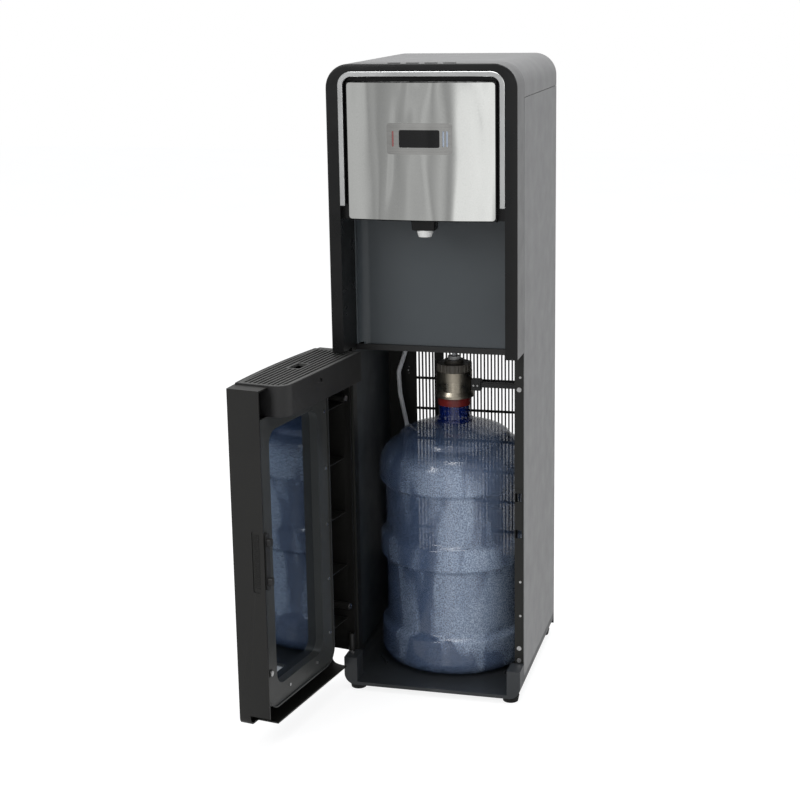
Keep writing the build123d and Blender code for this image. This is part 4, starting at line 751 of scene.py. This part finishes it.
@dataclass
class Studio:
    """Floor, pale surroundings, lamps and the camera at the photograph's angle."""

    eye: tuple[float, float, float] = (0.63859, -2.71916, 1.20145)
    right: tuple[float, float, float] = (0.96722, 0.25343, -0.01633)
    up: tuple[float, float, float] = (-0.04251, 0.22498, 0.97344)
    ahead: tuple[float, float, float] = (-0.25037, 0.94083, -0.22838)
    lens: float = 74.283
    sensor: float = 36.0
    clip: Range = (0.05, 60.0)
    shift: tuple[float, float] = (-0.0025, -0.040)
    sky: Colour = (0.95, 0.97, 1.0)
    sky_strength: float = 0.62
    floor_reach: float = 9.0
    floor_glow: float = 1.17
    floor_share: float = 0.72
    lamps: tuple[Softbox, ...] = (
        Softbox("key", (-1.6, -2.6, 2.3), (0, 0, 0.6), (1.6, 1.6), 40.0),
        Softbox("right_fill", (2.6, -0.3, 1.5), (0, 0, 0.6), (1.4, 1.8), 12.5),
        Softbox("overhead", (0.1, 0.1, 2.8), (0, 0, 0.9), (1.8, 1.8), 50.0),
    )

    def surroundings(self) -> None:
        """World that the camera and glass see as white, and that polished metal sees as a striped studio."""
        world = bpy.data.worlds.new("studio")
        bpy.context.scene.world = world
        world.use_nodes = True
        tree = world.node_tree
        tree.nodes.clear()
        link = tree.links.new
        place = tree.nodes.new("ShaderNodeTexCoord")
        split = tree.nodes.new("ShaderNodeSeparateXYZ")
        link(place.outputs["Generated"], split.inputs["Vector"])
        rays = tree.nodes.new("ShaderNodeLightPath")
        seen = tree.nodes.new("ShaderNodeMath")
        seen.operation = "MAXIMUM"
        link(rays.outputs["Is Camera Ray"], seen.inputs[0])
        link(rays.outputs["Is Transmission Ray"], seen.inputs[1])
        soft, polished, white = (tree.nodes.new("ShaderNodeBackground") for _ in range(3))
        soft.inputs["Color"].default_value = (*self.sky, 1)
        soft.inputs["Strength"].default_value = self.sky_strength
        link(self.striped(tree, split), polished.inputs["Color"])
        white.inputs["Color"].default_value = (1, 1, 1, 1)
        mirrored, whole = (tree.nodes.new("ShaderNodeMixShader") for _ in range(2))
        link(rays.outputs["Is Glossy Ray"], mirrored.inputs[0])
        link(soft.outputs[0], mirrored.inputs[1])
        link(polished.outputs[0], mirrored.inputs[2])
        link(seen.outputs["Value"], whole.inputs[0])
        link(mirrored.outputs[0], whole.inputs[1])
        link(white.outputs[0], whole.inputs[2])
        link(whole.outputs[0], tree.nodes.new("ShaderNodeOutputWorld").inputs["Surface"])

    def striped(self, tree: bpy.types.NodeTree, split: bpy.types.Node) -> bpy.types.NodeSocket:
        """Brightness of the striped studio in the direction whose parts a node splits.

        Args:
            tree: Nodes to add to.
            split: Node that gives the X and Y of the direction.

        Returns:
            The grey level as a colour output.
        """
        front, azimuth = (tree.nodes.new("ShaderNodeMath") for _ in range(2))
        front.operation = "MULTIPLY"
        front.inputs[1].default_value = -1.0
        azimuth.operation = "ARCTAN2"
        tree.links.new(split.outputs["Y"], front.inputs[0])
        tree.links.new(split.outputs["X"], azimuth.inputs[0])
        tree.links.new(front.outputs["Value"], azimuth.inputs[1])
        across = tree.nodes.new("ShaderNodeMapRange")
        for key, value in (("From Min", -math.pi), ("From Max", math.pi), ("To Min", 0.0), ("To Max", 1.0)):
            across.inputs[key].default_value = value
        tree.links.new(azimuth.outputs["Value"], across.inputs["Value"])
        stripes = tree.nodes.new("ShaderNodeValToRGB")
        ramp = stripes.color_ramp
        stops = self.stripes()
        while len(ramp.elements) < len(stops):
            ramp.elements.new(0.5)
        for element, (position, level) in zip(ramp.elements, stops):
            element.position = position
            element.color = (level, level, level, 1)
        tree.links.new(across.outputs["Result"], stripes.inputs["Fac"])
        return stripes.outputs["Color"]

    @staticmethod
    def stripes() -> list[tuple[float, float]]:
        """Brightness round the studio as (share of a turn, level).

        Returns:
            The stops, where half a turn is straight ahead of the front.
        """
        levels = [
            (-180, 0.5), (-120, 0.6), (-60, 0.6), (-36, 0.56), (-31, 0.6), (-29.2, 0.56), (-28.6, 0.35),
            (-25.5, 0.44), (-24, 0.33), (-19, 0.42), (-17.5, 0.62), (-16.5, 0.4), (-13, 0.62), (-11.5, 0.36),
            (-8, 0.58), (-5.5, 0.36), (-3, 0.44), (-2.4, 1.0), (5, 1.1), (8, 0.6), (60, 0.5), (120, 0.62),
            (180, 0.5),
        ]
        return [((degrees + 180) / 360, level) for degrees, level in levels]

    def floor(self) -> None:
        """Pale floor that the camera sees close to white while it keeps the object's shadow."""
        side = np.linspace(-self.floor_reach, self.floor_reach, 5)
        x, y = np.meshgrid(side, side)
        points = np.stack([x, y, np.zeros_like(x)], -1)
        made = surface("floor", [(points, grid_faces(5, 5, False))])
        recipe = Recipe("pale_floor")
        recipe.link(
            recipe.colours(recipe.noise(3.0), [(0.3, (0.95, 0.95, 0.95)), (0.7, (0.97, 0.97, 0.97))]),
            recipe.shader.inputs["Base Color"],
        )
        recipe.set(Roughness=0.9, Specular_IOR_Level=0.1)
        glow = recipe.node("ShaderNodeEmission")
        glow.inputs["Strength"].default_value = self.floor_glow
        rays = recipe.node("ShaderNodeLightPath")
        share = recipe.node("ShaderNodeMath", operation="MULTIPLY")
        share.inputs[1].default_value = self.floor_share
        recipe.link(rays.outputs["Is Camera Ray"], share.inputs[0])
        mix = recipe.node("ShaderNodeMixShader")
        recipe.link(share.outputs["Value"], mix.inputs[0])
        recipe.link(recipe.shader.outputs[0], mix.inputs[1])
        recipe.link(glow.outputs[0], mix.inputs[2])
        split = recipe.node("ShaderNodeSeparateXYZ")
        recipe.link(recipe.place(), split.inputs["Vector"])
        mirrored = recipe.node("ShaderNodeEmission")
        recipe.link(self.striped(recipe.tree, split), mirrored.inputs["Color"])
        seen = recipe.node("ShaderNodeMixShader")
        recipe.link(rays.outputs["Is Glossy Ray"], seen.inputs[0])
        recipe.link(mix.outputs[0], seen.inputs[1])
        recipe.link(mirrored.outputs[0], seen.inputs[2])
        recipe.link(seen.outputs[0], recipe.tree.nodes["Material Output"].inputs["Surface"])
        made.data.materials.append(recipe.material)

    def camera(self) -> None:
        """Camera where the photograph was taken from."""
        lens = bpy.data.cameras.new("photo_view")
        lens.lens = self.lens
        lens.sensor_width = self.sensor
        lens.shift_x, lens.shift_y = self.shift
        lens.clip_start, lens.clip_end = self.clip
        made = bpy.data.objects.new("photo_view", lens)
        bpy.context.scene.collection.objects.link(made)
        turn = Matrix((self.right, self.up, [-c for c in self.ahead])).transposed()
        made.matrix_world = Matrix.Translation(self.eye) @ turn.to_4x4()
        bpy.context.scene.camera = made

    def build(self) -> None:
        """Sets up the floor, the surroundings, the lamps and the camera."""
        self.surroundings()
        self.floor()
        for lamp in self.lamps:
            lamp.build()
        self.camera()
        bpy.context.scene.view_settings.view_transform = "Standard"


def main() -> None:
    """Builds every sub-assembly and the studio."""
    logging.basicConfig(level=logging.INFO, format="%(name)s: %(message)s")
    shop = Workshop(Finishes())
    for part in (Cabinet(), FrontModule(), Door(), BottleBay()):
        part.build(shop)
    Studio().build()


if __name__ == "__main__":
    main()
